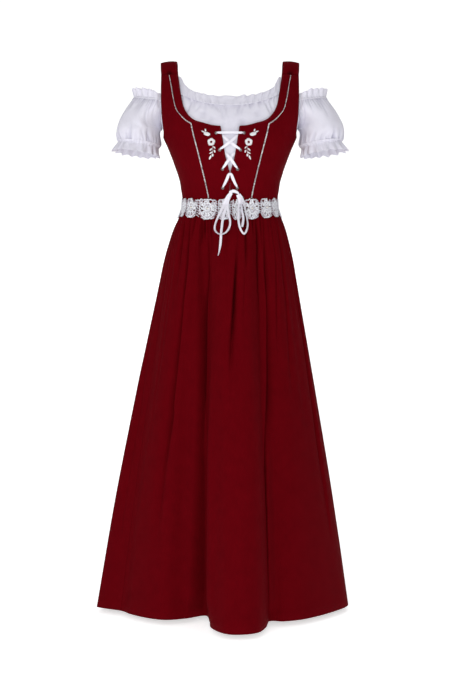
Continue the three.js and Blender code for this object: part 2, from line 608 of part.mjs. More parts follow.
// The way up of a neck frill that stands on the body's panels.
const neckLean = 0.1;
const awayFromMiddle = (deg) => {
  const [x, y] = torsoPoint(deg, -100);
  return new THREE.Vector3(x, y, 0).normalize();
};
function neckUp(deg, foot, high) {
  const rise = new THREE.Vector3(...torsoPoint(deg, foot + high)).sub(new THREE.Vector3(...torsoPoint(deg, foot)));
  return rise.setLength(high).addScaledVector(awayFromMiddle(deg), -high * neckLean);
}
const neckTable = (rows, column, deg) => tableAt(rows, "deg", column, deg > 180 ? 360 - deg : Math.abs(deg));
for (const back of [false, true]) {
  const place = (u) => (back ? 180 : 0) + (u * 2 - 1) * (raglanDeg - 0.3);
  const foot = (u) => neckTable(neckCasing, "z", place(u));
  const ends = (u) => smooth((Math.min(u, 1 - u) - 0.02) / 0.04);
  frill({
    name: back ? "neck_frill_back" : "neck_frill_front", group: blouse,
    waves: back ? frillWaves.back : frillWaves.front,
    base: (u) => torsoPoint(place(u), foot(u) + seamGap * 3, -underDress - 1),
    up: (u) => neckUp(place(u), foot(u), neckTable(neckFrillHeight, "high", place(u))),
    outwards: (u) => awayFromMiddle(place(u)),
    wave: (u) => neckWave * ends(u) * (Math.abs(torsoPoint(place(u), -90)[0]) > 108 ? 0.3 : 1),
  });
}

for (const side of sides) {
  const point = sleevePoint(side.x);
  const columns = frillWaves.sleeve * 2;
  const mirrored = side.x < 0;
  addPiece(blouse, `sleeve_${side.name}`, clothWall({
    columns, rows: 6, thick: blouseCloth, mirrored: !mirrored,
    pointAt: (u, v) => point(u, v, (Math.round(u * columns) % 2) * 3 * (1 - Math.sin(Math.PI * v) ** 0.5 * 0.8)),
  }), materials.blouse);
  const armAxis = new THREE.Vector3(side.x * 0.16, 0, -1).normalize();
  const outwards = (u, w) => {
    const a = new THREE.Vector3(...point(u, w, 0, 4));
    return a.sub(new THREE.Vector3(...point(u, w, 0, 0))).normalize();
  };
  frill({
    name: `neck_frill_${side.name}`, group: blouse, waves: frillWaves.sleeve, mirrored: mirrored,
    base: (u) => {
      const [x, y, z] = point(mix(0.996, 0.004, u), 0, 1);
      return [x, y, z + seamGap * 3];
    },
    up: (u) => {
      const fromSeam = Math.min(u, 1 - u);
      const high = mix(12, 20, smooth(fromSeam / 0.25));
      const seamDeg = side.x * (u < 0.5 ? 180 - raglanDeg : raglanDeg);
      const own = new THREE.Vector3(0, 0, high).addScaledVector(outwards(1 - u, 0), high * 0.1);
      return neckUp(seamDeg, neckTable(neckCasing, "z", raglanDeg), high).lerp(own, smooth((fromSeam - 0.02) / 0.2));
    },
    outwards: (u) => outwards(1 - u, 0),
    wave: (u) => neckWave * smooth((Math.min(u, 1 - u) - 0.03) / 0.15),
  });
  frill({
    name: `cuff_frill_${side.name}`, group: blouse, waves: frillWaves.cuff, mirrored: !mirrored,
    base: (u) => new THREE.Vector3(...point(u, 1, 1)).addScaledVector(armAxis, seamGap * 2).toArray(),
    up: (u) => armAxis.clone().multiplyScalar(cuffFrillLength)
      .addScaledVector(outwards(u, 1), mix(cuffFlare.inner, cuffFlare.outer, (1 - Math.cos(rad(360 * u))) / 2)),
    outwards: (u) => outwards(u, 1),
    wave: () => cuffWave,
  });
}

// Lacing. A place on the front of the dress, in the front view, standing off its face.
function frontPoint(x, z, out) {
  if (z >= waistZ) return torsoPoint(degAtX(x, z), z, out);
  const t = (waistZ - z) / (waistZ - hemZ);
  let deg = degAtX(x, waistZ) * 0.8;
  for (let n = 0; n < 6; n++) deg += ((x - skirtBase(deg, t)[0]) * 0.45);
  const [, y] = skirtBase(deg, t);
  return [x, y - out, z];
}

// A flat ribbon along a path in the front view, rows of [x, z, off the cloth, share of its full width].
function ribbon(name, path, rows, cordWidth = ribbonWidth) {
  let gone = 0;
  const rowsAlong = path.map((p, i) => {
    if (i) gone += Math.hypot(p[0] - path[i - 1][0], p[1] - path[i - 1][1], p[2] - path[i - 1][2]);
    return { gone, x: p[0], z: p[1], out: p[2], wide: p[3] ?? 1 };
  });
  const at = (v) => {
    const place = clamp(v, 0, 1) * (path.length - 1);
    const i = Math.min(Math.floor(place), path.length - 2);
    const along = mix(rowsAlong[i].gone, rowsAlong[i + 1].gone, place - i);
    return ["x", "z", "out", "wide"].map((column) => tableAt(rowsAlong, "gone", column, along));
  };
  addPiece(lacing, name, clothWall({
    columns: 1, rows, thick: ribbonCloth,
    pointAt: (u, v) => {
      const [x, z, out, wide] = at(v);
      const [bx, bz] = at(v - 0.02);
      const [ax, az] = at(v + 0.02);
      const long = Math.hypot(ax - bx, az - bz);
      const off = (u - 0.5) * cordWidth * wide;
      return frontPoint(x + ((az - bz) / long) * off, z - ((ax - bx) / long) * off, out);
    },
  }), materials.ribbon);
}

// The first rows of a strip that rises from an eyelet and heads for [x, z].
function fromEyelet(place, side, towards) {
  const [dx, dz] = [towards[0] - side * place.x, towards[1] - place.z];
  const long = Math.hypot(dx, dz);
  return eyeletRise.map(({ away, out, wide }) =>
    [side * place.x + (dx / long) * away, place.z + (dz / long) * away, out, wide]);
}

const barMiddle = [0, -188.5, 1.8, 1];
ribbon("lacing_bar", [
  ...fromEyelet(eyelets[0], -1, barMiddle), barMiddle, ...fromEyelet(eyelets[0], 1, barMiddle).reverse(),
], 20);
crossings.forEach(({ from, to, middle, edge, over }, n) => {
  for (const side of sides) {
    const way = side.x === over ? "over" : "under";
    const heights = crossingHeights[way];
    const start = fromEyelet(eyelets[from], side.x, [0, middle[1]]);
    const last = start[start.length - 1];
    const key = [[last[0], last[1]], [side.x * middle[0], middle[1]], [-side.x * edge[0], edge[1]]];
    const behind = [-side.x * (eyelets[to].x - 1.5), mix(edge[1], eyelets[to].z, 0.8)];
    const leg = (a, b, t) => [mix(a[0], b[0], t), mix(a[1], b[1], t)];
    ribbon(`lacing_cross_${n + 1}_${side.name}`, [
      ...start,
      [...leg(key[0], key[1], 0.45), heights[0], 1],
      [...leg(key[0], key[1], 0.75), heights[1], 1],
      [...key[1], heights[2], 1],
      [...leg(key[1], key[2], 0.45), heights[3], 1],
      [...key[2], heights[4], 1],
      [...behind, heights[5], 0.6],
    ], 20);
  }
});
for (const side of sides) {
  const start = fromEyelet(eyelets[3], side.x, [0, lowestMeet.z]);
  const last = start[start.length - 1];
  const meet = [side.x * lowestMeet.x, lowestMeet.z];
  ribbon(`lacing_cross_3_${side.name}`, [
    ...start,
    [mix(last[0], meet[0], 0.5), mix(last[1], meet[1], 0.5), side.x < 0 ? 1.7 : 2.4, 1],
    [mix(last[0], meet[0], 0.8) + side.x * 0.8, mix(last[1], meet[1], 0.8), side.x < 0 ? 1.6 : 2.9, 0.9],
    [...meet, side.x < 0 ? 1.6 : 3.1, 0.5],
  ], 14);
}

// The knot: a short flat tube of ribbon, with the loops and tails starting below it.
addPiece(lacing, "bow_knot", clothWall({
  columns: 10, rows: 4, thick: ribbonCloth, closed: true,
  pointAt: (u, v) => {
    const angle = rad(360 * u);
    const pinch = 0.82 + 0.18 * Math.sin(Math.PI * v);
    const x = mix(knot.left[0], knot.right[0], v);
    const z = mix(knot.left[1], knot.right[1], v) + (knot.tall / 2) * pinch * Math.cos(angle);
    return frontPoint(x, z, knot.standOff + (knot.deep / 2) * (1 + pinch * Math.sin(angle)));
  },
}), materials.ribbon);
for (const side of sides) {
  ribbon(`bow_loop_${side.name}`, bowLoops[side.name], 26);
  ribbon(`bow_tail_${side.name}`, bowTails[side.name], 12);
}

export default dirndl;
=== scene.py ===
# A laced dirndl over an off-shoulder blouse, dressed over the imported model.
# Lengths are in mm until a mesh is made. Left and right are the wearer's, the front faces -Y.
import json
import math

import bpy
import numpy as np
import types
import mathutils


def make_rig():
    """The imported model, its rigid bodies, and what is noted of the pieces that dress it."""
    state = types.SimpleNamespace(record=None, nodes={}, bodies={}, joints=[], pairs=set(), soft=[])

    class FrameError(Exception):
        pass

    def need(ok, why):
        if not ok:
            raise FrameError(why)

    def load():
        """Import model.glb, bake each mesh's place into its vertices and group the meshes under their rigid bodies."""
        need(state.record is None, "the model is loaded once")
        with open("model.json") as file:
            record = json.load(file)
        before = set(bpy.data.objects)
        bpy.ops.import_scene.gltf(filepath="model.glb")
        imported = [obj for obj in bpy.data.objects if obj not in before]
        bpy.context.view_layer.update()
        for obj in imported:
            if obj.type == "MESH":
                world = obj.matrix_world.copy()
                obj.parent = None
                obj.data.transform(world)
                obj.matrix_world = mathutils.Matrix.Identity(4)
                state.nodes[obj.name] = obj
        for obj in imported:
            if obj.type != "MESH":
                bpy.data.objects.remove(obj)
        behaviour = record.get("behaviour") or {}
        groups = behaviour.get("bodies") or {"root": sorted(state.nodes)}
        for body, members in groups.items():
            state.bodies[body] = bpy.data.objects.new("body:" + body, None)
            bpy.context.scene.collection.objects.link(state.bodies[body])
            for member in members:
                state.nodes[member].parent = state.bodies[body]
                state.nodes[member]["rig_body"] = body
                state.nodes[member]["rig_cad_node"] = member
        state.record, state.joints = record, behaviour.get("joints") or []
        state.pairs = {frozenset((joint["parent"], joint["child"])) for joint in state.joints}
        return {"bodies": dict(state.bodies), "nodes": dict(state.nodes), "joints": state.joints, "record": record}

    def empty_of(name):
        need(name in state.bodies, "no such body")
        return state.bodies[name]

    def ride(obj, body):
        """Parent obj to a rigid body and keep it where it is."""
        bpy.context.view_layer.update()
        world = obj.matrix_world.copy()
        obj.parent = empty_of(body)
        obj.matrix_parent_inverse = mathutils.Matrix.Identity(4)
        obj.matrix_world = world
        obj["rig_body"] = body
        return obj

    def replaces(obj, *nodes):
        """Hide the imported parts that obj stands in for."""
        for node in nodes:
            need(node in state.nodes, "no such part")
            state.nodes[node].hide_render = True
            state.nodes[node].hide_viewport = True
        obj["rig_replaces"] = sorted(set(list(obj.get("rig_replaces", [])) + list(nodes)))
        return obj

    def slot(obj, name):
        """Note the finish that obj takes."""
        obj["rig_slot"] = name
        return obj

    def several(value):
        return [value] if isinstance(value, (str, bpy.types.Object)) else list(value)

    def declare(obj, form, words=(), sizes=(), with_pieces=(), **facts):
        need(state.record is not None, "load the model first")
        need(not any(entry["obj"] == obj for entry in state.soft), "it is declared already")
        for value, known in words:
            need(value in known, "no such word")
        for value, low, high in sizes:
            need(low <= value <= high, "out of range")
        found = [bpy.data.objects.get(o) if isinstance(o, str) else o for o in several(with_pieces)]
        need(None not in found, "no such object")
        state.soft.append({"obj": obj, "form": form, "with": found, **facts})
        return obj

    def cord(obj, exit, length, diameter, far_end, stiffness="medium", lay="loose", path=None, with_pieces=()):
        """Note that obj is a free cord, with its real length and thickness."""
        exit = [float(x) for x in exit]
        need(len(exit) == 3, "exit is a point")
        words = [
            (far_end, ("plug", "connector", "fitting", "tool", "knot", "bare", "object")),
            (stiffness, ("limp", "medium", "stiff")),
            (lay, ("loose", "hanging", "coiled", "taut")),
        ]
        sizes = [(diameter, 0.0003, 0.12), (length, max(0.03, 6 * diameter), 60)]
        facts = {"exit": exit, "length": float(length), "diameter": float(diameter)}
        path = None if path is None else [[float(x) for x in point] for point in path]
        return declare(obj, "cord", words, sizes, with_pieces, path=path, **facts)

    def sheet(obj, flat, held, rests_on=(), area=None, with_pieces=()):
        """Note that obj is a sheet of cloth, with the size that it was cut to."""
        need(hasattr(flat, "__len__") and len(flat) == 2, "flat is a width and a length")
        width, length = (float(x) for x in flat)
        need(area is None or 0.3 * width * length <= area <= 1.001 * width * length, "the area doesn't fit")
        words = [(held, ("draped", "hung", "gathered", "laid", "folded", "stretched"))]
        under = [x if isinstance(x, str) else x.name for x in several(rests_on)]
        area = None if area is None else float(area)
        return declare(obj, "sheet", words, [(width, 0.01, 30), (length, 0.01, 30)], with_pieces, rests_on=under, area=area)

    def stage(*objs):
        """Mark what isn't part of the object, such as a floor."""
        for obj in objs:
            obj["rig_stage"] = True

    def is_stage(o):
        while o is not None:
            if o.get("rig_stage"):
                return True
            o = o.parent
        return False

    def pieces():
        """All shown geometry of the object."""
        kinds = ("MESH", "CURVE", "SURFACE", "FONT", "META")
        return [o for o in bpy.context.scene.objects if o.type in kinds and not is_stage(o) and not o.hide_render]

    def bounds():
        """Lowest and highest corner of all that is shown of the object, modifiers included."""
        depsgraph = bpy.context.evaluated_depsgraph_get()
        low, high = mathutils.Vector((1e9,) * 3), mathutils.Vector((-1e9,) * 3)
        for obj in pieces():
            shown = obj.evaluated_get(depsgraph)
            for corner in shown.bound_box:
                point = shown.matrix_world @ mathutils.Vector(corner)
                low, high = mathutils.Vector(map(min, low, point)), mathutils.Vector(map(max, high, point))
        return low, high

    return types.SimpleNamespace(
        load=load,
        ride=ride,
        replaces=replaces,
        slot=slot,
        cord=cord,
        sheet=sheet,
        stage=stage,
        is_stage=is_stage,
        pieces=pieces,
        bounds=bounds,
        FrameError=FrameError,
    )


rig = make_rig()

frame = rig.load()
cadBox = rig.bounds()
scene = bpy.context.scene

# The camera looks level along +Y, at the middle of the dress.
cameraSettings = {"place": (0, -3.2, -0.68), "lens": 69.565, "sensor": 36}


def addCamera(spec):
    lens = bpy.data.cameras.new("camera")
    lens.lens = spec["lens"]
    lens.sensor_width = spec["sensor"]
    lens.sensor_fit = "AUTO"
    camera = bpy.data.objects.new("camera", lens)
    camera.location = spec["place"]
    camera.rotation_euler = (math.pi / 2, 0, 0)
    scene.collection.objects.link(camera)
    scene.camera = camera


addCamera(cameraSettings)

# Numbers shared with the model. The blouse is a little thinner than its solids.
sizes = {
    "dressCloth": 1.5, "blouseCloth": 0.8, "seamGap": 0.3, "underDress": 5,
    "waistZ": -352, "hemZ": -1308, "armpitZ": -185, "strapSeamZ": -41,
    "blouseHemZ": -300, "blouseArmpitZ": -166,
}
bothSides = (("left", 1), ("right", -1))
torso = [  # height, half width, depth in front, depth behind, squareness
    (-352, 114.5, 89, 87, 2.2), (-329, 114, 90, 85, 2.2), (-306, 117.5, 96, 86, 2.2),
    (-284, 121.5, 103, 89, 2.25), (-245, 134.5, 115, 96, 2.3), (-210, 148, 121, 102, 2.35),
    (-185, 159, 120, 104, 2.4), (-150, 170, 113, 104, 2.6), (-120, 175, 103, 102, 2.8),
    (-90, 178, 91, 95, 3), (-41, 179, 64, 74, 3.2),
]


def smooth(x):
    x = np.clip(x, 0, 1)
    return x * x * (3 - 2 * x)


def mix(a, b, t):
    return a + (b - a) * t


# A smooth curve through rows whose first number is the place. Gives the other columns.
def tableAt(rows, at, period=0):
    rows = np.asarray(rows, float)
    keys, values = rows[:, 0], rows[:, 1:]
    at = np.asarray(at, float)
    if period:  # the first and last rows are repeated past the ends
        keys = np.concatenate([keys[-2:] - period, keys, keys[:3] + period])
        values = np.concatenate([values[-2:], values, values[:3]])
        at = keys[2] + np.mod(at - keys[2], period)
    else:
        at = np.clip(at, keys[0], keys[-1])
    i = np.clip(np.searchsorted(keys, at, side="right") - 1, 0, len(keys) - 2)
    before, after = np.maximum(i - 1, 0), np.minimum(i + 2, len(keys) - 1)
    span = keys[i + 1] - keys[i]
    slopeB = (values[i + 1] - values[before]) / (keys[i + 1] - keys[before])[..., None]
    slopeC = (values[after] - values[i]) / (keys[after] - keys[i])[..., None]
    t = ((at - keys[i]) / span)[..., None]
    span = span[..., None]
    return ((2 * t**3 - 3 * t**2 + 1) * values[i] + (t**3 - 2 * t**2 + t) * span * slopeB
            + (3 * t**2 - 2 * t**3) * values[i + 1] + (t**3 - t**2) * span * slopeC)


# A point of the curve through evenly numbered points, s from 0 to 1.
def pathAt(points, s):
    points = np.asarray(points, float)
    keys = np.linspace(0, 1, len(points))[:, None]
    return tableAt(np.hstack([keys, points]), s)


# Two curves end to end: the first up to the share, the second from there on.
def twoPaths(first, second, share):
    def path(v):
        v = np.asarray(v, float)[..., None]
        low = pathAt(first, v[..., 0] / share)
        high = pathAt(second, (v[..., 0] - share) / (1 - share))
        return np.where(v <= share, low, high)
    return path


# A point round the body, out being how far it stands off the face. 0 degrees is the front, 90 the left.
def torsoPoint(deg, z, out=0.0):
    deg, z, out = np.broadcast_arrays(np.asarray(deg, float), z, out)
    row = tableAt(torso, z)
    s, c = np.sin(np.radians(deg)), np.cos(np.radians(deg))
    half = row[..., 0] + out
    deep = np.where(c > 0, row[..., 1], row[..., 2]) + out
    power = 2 / row[..., 3]
    return np.stack([half * np.sign(s) * np.abs(s) ** power, -deep * np.sign(c) * np.abs(c) ** power, z], -1)


# The place round the body, in degrees, of a point seen at x in the front view.
def degAtX(x, z):
    row = tableAt(torso, z)
    share = np.clip(np.abs(x) / row[..., 0], 0, 1)
    return np.sign(x) * np.degrees(np.arcsin(share ** (row[..., 3] / 2)))


# Even soft noise from -1 to 1 over one or two coordinates.
def softNoise(seed, x, y=0.0):
    x, y = np.broadcast_arrays(np.asarray(x, float), np.asarray(y, float))
    grid = np.random.RandomState(seed).uniform(-1, 1, (64, 64))
    xi, yi = np.floor(x).astype(int), np.floor(y).astype(int)
    fx, fy = smooth(x - xi), smooth(y - yi)
    a, b = grid[xi % 64, yi % 64], grid[(xi + 1) % 64, yi % 64]
    c, d = grid[xi % 64, (yi + 1) % 64], grid[(xi + 1) % 64, (yi + 1) % 64]
    return mix(mix(a, b, fx), mix(c, d, fx), fy)


def unit(v):
    return v / np.maximum(np.linalg.norm(v, axis=-1, keepdims=True), 1e-9)


# Length along a line of points, from 0 at its first.
def lengthAlong(line):
    return np.concatenate([[0], np.cumsum(np.linalg.norm(np.diff(line, axis=0), axis=1))])


# A mesh in metres from points in mm. faces is a list of arrays, one for each number of corners.
def makeMesh(name, verts, faces, uv=None):
    mesh = bpy.data.meshes.new(name)
    loops = np.concatenate([np.asarray(f).ravel() for f in faces]).astype(np.int32)
    counts = np.concatenate([np.full(len(f), np.asarray(f).shape[1]) for f in faces if len(f)])
    starts = np.concatenate([[0], np.cumsum(counts)[:-1]]).astype(np.int32)
    mesh.vertices.add(len(verts))
    mesh.vertices.foreach_set("co", (np.asarray(verts) * 0.001).astype(np.float32).ravel())
    mesh.loops.add(len(loops))
    mesh.loops.foreach_set("vertex_index", loops)
    mesh.polygons.add(len(counts))
    mesh.polygons.foreach_set("loop_start", starts)
    mesh.polygons.foreach_set("use_smooth", np.ones(len(counts), dtype=bool))
    mesh.update(calc_edges=True)
    if uv is not None:
        layer = mesh.uv_layers.new(name="cloth")
        layer.data.foreach_set("uv", (np.asarray(uv)[loops] * 0.001).astype(np.float32).ravel())
    mesh.validate()
    return mesh


# Puts a mesh in the scene as a piece that rides on the part and stands for the given solids.
def addPiece(name, mesh, material, slotName, replaces=()):
    piece = bpy.data.objects.new(name, mesh)
    mesh.materials.append(material)
    scene.collection.objects.link(piece)
    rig.ride(piece, "root")
    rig.slot(piece, slotName)
    if replaces:
        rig.replaces(piece, *replaces)
    return piece


def cellMiddles(values):
    return (values[:-1, :-1] + values[1:, :-1] + values[:-1, 1:] + values[1:, 1:]) / 4


def normalsOf(grid, closed=False):
    if closed:
        right = np.roll(grid, -1, 1) - np.roll(grid, 1, 1)
    else:
        right = np.gradient(grid, axis=1)
    return unit(np.cross(right, np.gradient(grid, axis=0)))


# A thin wall from a grid of its face, rows up and columns to the right seen from outside. keeps says which
# cells are cloth, inner gives another back face, place the cloth's own coordinates and rise how deep it lies.
def wallMesh(name, grid, thick, flip=False, closed=False, keeps=None, inner=None, place=None, rise=None):
    rows, columns = grid.shape[:2]
    sign = -1 if flip else 1
    if inner is None:
        inner = grid - normalsOf(grid, closed) * thick * sign
    across = columns if closed else columns - 1
    kept = np.ones((rows - 1, across), bool) if keeps is None else keeps
    j, i = np.mgrid[0:rows - 1, 0:across]
    nextI = (i + 1) % columns
    a, b, c, d = j * columns + i, j * columns + nextI, (j + 1) * columns + nextI, (j + 1) * columns + i
    back = rows * columns
    quads = []

    def take(mask, *corners):
        quads.append(np.stack([corner[mask] for corner in corners], -1))

    take(kept, a, b, c, d)
    take(kept, a + back, d + back, c + back, b + back)
    around = np.pad(kept, 1)
    if closed:
        around[1:-1, 0], around[1:-1, -1] = kept[:, -1], kept[:, 0]
    take(kept & ~around[:-2, 1:-1], b, a, a + back, b + back)
    take(kept & ~around[1:-1, 2:], c, b, b + back, c + back)
    take(kept & ~around[2:, 1:-1], d, c, c + back, d + back)
    take(kept & ~around[1:-1, :-2], a, d, d + back, a + back)
    faces = np.concatenate(quads)
    if flip:
        faces = faces[:, ::-1]
    if place is None:
        wide = np.concatenate([[0], np.cumsum(np.linalg.norm(np.diff(grid, axis=1), axis=-1).mean(0))])
        tall = np.concatenate([[0], np.cumsum(np.linalg.norm(np.diff(grid, axis=0), axis=-1).mean(1))])
        place = np.stack(np.meshgrid(wide, tall), -1)
    verts = np.concatenate([grid.reshape(-1, 3), inner.reshape(-1, 3)])
    uv = np.concatenate([place.reshape(-1, 2), place.reshape(-1, 2)])
    used = np.unique(faces)
    number = np.full(len(verts), -1)
    number[used] = np.arange(len(used))
    mesh = makeMesh(name, verts[used], [number[faces]], uv[used])
    if rise is not None:
        both = np.concatenate([rise.ravel(), rise.ravel() * 0])[used]
        mesh.attributes.new("rise", "FLOAT", "POINT").data.foreach_set("value", both.astype(np.float32))
    return mesh


# Many round threads at once: centres (threads, rings, 3), radii (threads, rings), the way out of the cloth.
def threadMesh(name, centres, radii, outs, sides=6, closed=False, flat=1.0):
    centres = np.asarray(centres, float)
    count, rings = centres.shape[:2]
    radii = np.broadcast_to(radii, (count, rings))[..., None, None]
    along = np.roll(centres, -1, 1) - np.roll(centres, 1, 1) if closed else np.gradient(centres, axis=1)
    along = unit(along)
    side = unit(np.cross(along, np.broadcast_to(outs, centres.shape)))
    up = np.cross(side, along)
    angle = 2 * math.pi * np.arange(sides) / sides
    ring = np.cos(angle)[:, None] * side[:, :, None] + flat * np.sin(angle)[:, None] * up[:, :, None]
    verts = (centres[:, :, None] + ring * radii).reshape(-1, 3)
    ringsUsed = rings if closed else rings - 1
    k, m, s = np.meshgrid(np.arange(count), np.arange(ringsUsed), np.arange(sides), indexing="ij")
    first, second = (k * rings + m) * sides, (k * rings + (m + 1) % rings) * sides
    nextS = (s + 1) % sides
    quads = np.stack([first + s, second + s, second + nextS, first + nextS], -1).reshape(-1, 4)
    faces = [quads]
    if not closed:
        start = (np.arange(count) * rings * sides)[:, None] + np.arange(sides)
        faces += [start, (start + (rings - 1) * sides)[:, ::-1]]
    lengths = np.cumsum(np.linalg.norm(np.diff(centres, axis=1, prepend=centres[:, :1]), axis=-1), axis=1)
    uv = np.stack(np.broadcast_arrays(np.arange(sides) * 0.5, lengths[..., None]), -1).reshape(-1, 2)
    return makeMesh(name, verts, faces, uv)


# One mesh from many, which are removed.
def joinMeshes(name, meshes):
    verts, faces, uvs, base = [], {}, [], 0
    for mesh in meshes:
        co = np.empty(len(mesh.vertices) * 3, np.float32)
        mesh.vertices.foreach_get("co", co)
        loops = np.empty(len(mesh.loops), np.int32)
        mesh.loops.foreach_get("vertex_index", loops)
        total, start = np.empty(len(mesh.polygons), np.int32), np.empty(len(mesh.polygons), np.int32)
        mesh.polygons.foreach_get("loop_total", total)
        mesh.polygons.foreach_get("loop_start", start)
        uv = np.zeros((len(mesh.vertices), 2))
        if mesh.uv_layers:
            flat = np.empty(len(mesh.loops) * 2, np.float32)
            mesh.uv_layers[0].data.foreach_get("uv", flat)
            uv[loops] = flat.reshape(-1, 2) * 1000
        for size in np.unique(total):
            rows = start[total == size][:, None] + np.arange(size)
            faces.setdefault(int(size), []).append(loops[rows] + base)
        verts.append(co.reshape(-1, 3) * 1000)
        uvs.append(uv)
        base += len(mesh.vertices)
        bpy.data.meshes.remove(mesh)
    joined = [np.concatenate(f) for f in faces.values()]
    return makeMesh(name, np.concatenate(verts), joined, np.concatenate(uvs))


# A row of short stitches along a line of points, lying on the cloth.
def stitchRow(name, line, outs, long=2.6, gap=1.0, thick=0.28):
    line, outs = np.asarray(line, float), unit(np.asarray(outs, float))
    gone = lengthAlong(line)
    count = max(1, int(gone[-1] / (long + gap)))
    starts = np.arange(count) * gone[-1] / count
    where = starts[:, None] + np.array([0, 0.15, 0.85, 1]) * long
    centres = np.stack([np.interp(where, gone, line[:, n]) for n in range(3)], -1)
    out = unit(np.stack([np.interp(where, gone, outs[:, n]) for n in range(3)], -1))
    lift = np.array([-0.15, 0.15, 0.15, -0.15])
    radii = thick * np.array([0.45, 1, 1, 0.45])
    return threadMesh(name, centres + out * lift[:, None], radii, out, sides=5)


def shade(hexCode):
    parts = [int(hexCode[n:n + 2], 16) / 255 for n in (0, 2, 4)]
    return tuple(p / 12.92 if p <= 0.04045 else ((p + 0.055) / 1.055) ** 2.4 for p in parts) + (1,)


# A material and the two helpers that its nodes are made with: fill sets or links inputs, add makes a node.
def newMaterial(name):
    material = bpy.data.materials.new(name)
    material.use_nodes = True
    tree = material.node_tree

    def fill(node, inputs):
        for key, value in inputs.items():
            if isinstance(value, bpy.types.NodeSocket):
                tree.links.new(value, node.inputs[key])
            else:
                node.inputs[key].default_value = value

    def add(kind, output, inputs, **settings):
        node = tree.nodes.new(kind)
        for key, value in settings.items():
            setattr(node, key, value)
        fill(node, inputs)
        return node.outputs[output]

    return material, tree.nodes["Principled BSDF"], fill, add


def clothPlace(add):
    return add("ShaderNodeUVMap", "UV", {}, uv_map="cloth"), add("ShaderNodeTexCoord", "Object", {})


def riseOf(add):
    return add("ShaderNodeAttribute", "Fac", {}, attribute_name="rise")


def noise(add, place, scale, detail=3.0, roughness=0.5):
    inputs = {"Vector": place, "Scale": scale, "Detail": detail, "Roughness": roughness}
    return add("ShaderNodeTexNoise", "Fac", inputs)


# Bands whose pitch is in mm.
def bands(add, place, pitch, direction, distortion, detail=1.0):
    inputs = {"Vector": place, "Scale": 314 / pitch, "Distortion": distortion, "Detail": detail}
    return add("ShaderNodeTexWave", "Fac", inputs, bands_direction=direction)


def ranged(add, value, goes=(0.0, 1.0), comes=(0.0, 1.0)):
    inputs = {"Value": value, "From Min": comes[0], "From Max": comes[1]}
    inputs.update({"To Min": goes[0], "To Max": goes[1]})
    return add("ShaderNodeMapRange", "Result", inputs)


# First times second, plus third.
def scaled(add, first, second, third):
    return add("ShaderNodeMath", "Value", {0: first, 1: second, 2: third}, operation="MULTIPLY_ADD")


def blend(add, share, first, second):
    return add("ShaderNodeMix", "Result", {"Factor": share, "A": first, "B": second}, data_type="RGBA")


def bump(add, height, strength, distance, **under):
    inputs = {"Height": height, "Strength": strength, "Distance": distance, **under}
    return add("ShaderNodeBump", "Normal", inputs)


# A woven cloth: threads both ways, slubs along them, soft crumple, and slow changes of colour and gloss.
def wovenCloth(name, spec):
    material, shader, fill, add = newMaterial(name)
    place, body = clothPlace(add)
    warp, weft = (bands(add, place, spec["pitch"], way, 1.2) for way in ("X", "Y"))
    weave = add("ShaderNodeMath", "Value", {0: warp, 1: weft}, operation="MULTIPLY")
    along = add("ShaderNodeMapping", "Vector", {"Vector": place, "Scale": spec["slub"]})
    slub = noise(add, along, 1.0)
    crumple = noise(add, body, spec["crumpleScale"], 4.0, 0.55)
    patch = ranged(add, noise(add, body, spec["patchScale"], 4.0, 0.6), (0.0, 0.5), (0.2, 0.8))
    tone = blend(add, scaled(add, slub, 0.5, patch), shade(spec["dark"]), shade(spec["light"]))
    # the bottoms of the gathers see less light, so the cloth is a little darker in them
    depth = ranged(add, riseOf(add), comes=(0.0, spec["hollowDeep"]))
    soft = bump(add, crumple, spec["crumple"], 0.002)
    fill(shader, {
        "Base Color": blend(add, depth, tone, shade(spec["hollow"])),
        "Roughness": ranged(add, slub, spec["rough"]),
        "Normal": bump(add, weave, spec["weave"], 0.0002, Normal=soft),
        "Sheen Weight": spec["sheen"], "Sheen Roughness": 0.5, "Sheen Tint": shade(spec["sheenTint"]),
        "Specular IOR Level": spec["specular"], "Specular Tint": shade(spec["specularTint"]),
    })
    return material


# Thread, cord or metal: one tone with fine changes, and ridges along its length.
def threadLook(name, spec):
    material, shader, fill, add = newMaterial(name)
    place, body = clothPlace(add)
    patch = noise(add, body, spec["patchScale"])
    even = spec.get("even", 0.0)
    share = ranged(add, patch, comes=(even, 1 - even))
    ridges = bands(add, place, spec["pitch"], "DIAGONAL", 2.0)
    fill(shader, {
        "Base Color": blend(add, share, shade(spec["dark"]), shade(spec["light"])),
        "Roughness": ranged(add, patch, spec["rough"]),
        "Normal": bump(add, ridges, spec["ridge"], 0.0002),
        "Metallic": spec.get("metal", 0.0), "Sheen Weight": spec.get("sheen", 0.0),
    })
    return material


# Corded lace: a thin net that lets the red through where it lies low, and white cord where it is raised.
def lacedCord(name, spec):
    material, shader, fill, add = newMaterial(name)
    place, body = clothPlace(add)
    patch = noise(add, body, spec["patchScale"])
    level = scaled(add, patch, spec["patchWeight"], scaled(add, riseOf(add), spec["riseWeight"], spec["low"]))
    tone = add("ShaderNodeValToRGB", "Color", {"Fac": level})
    stops = tone.node.color_ramp.elements
    stops.new(spec["threadAt"])
    for stop, at, colour in zip(stops, ("netAt", "threadAt", "cordAt"), ("net", "thread", "cord")):
        stop.position, stop.color = spec[at], shade(spec[colour])
    ridges = bands(add, place, spec["pitch"], "DIAGONAL", 4.0, 2.0)
    fill(shader, {
        "Base Color": tone,
        "Roughness": ranged(add, patch, spec["rough"]),
        "Normal": bump(add, ridges, spec["ridge"], 0.0003),
        "Specular IOR Level": spec["specular"],
    })
    return material


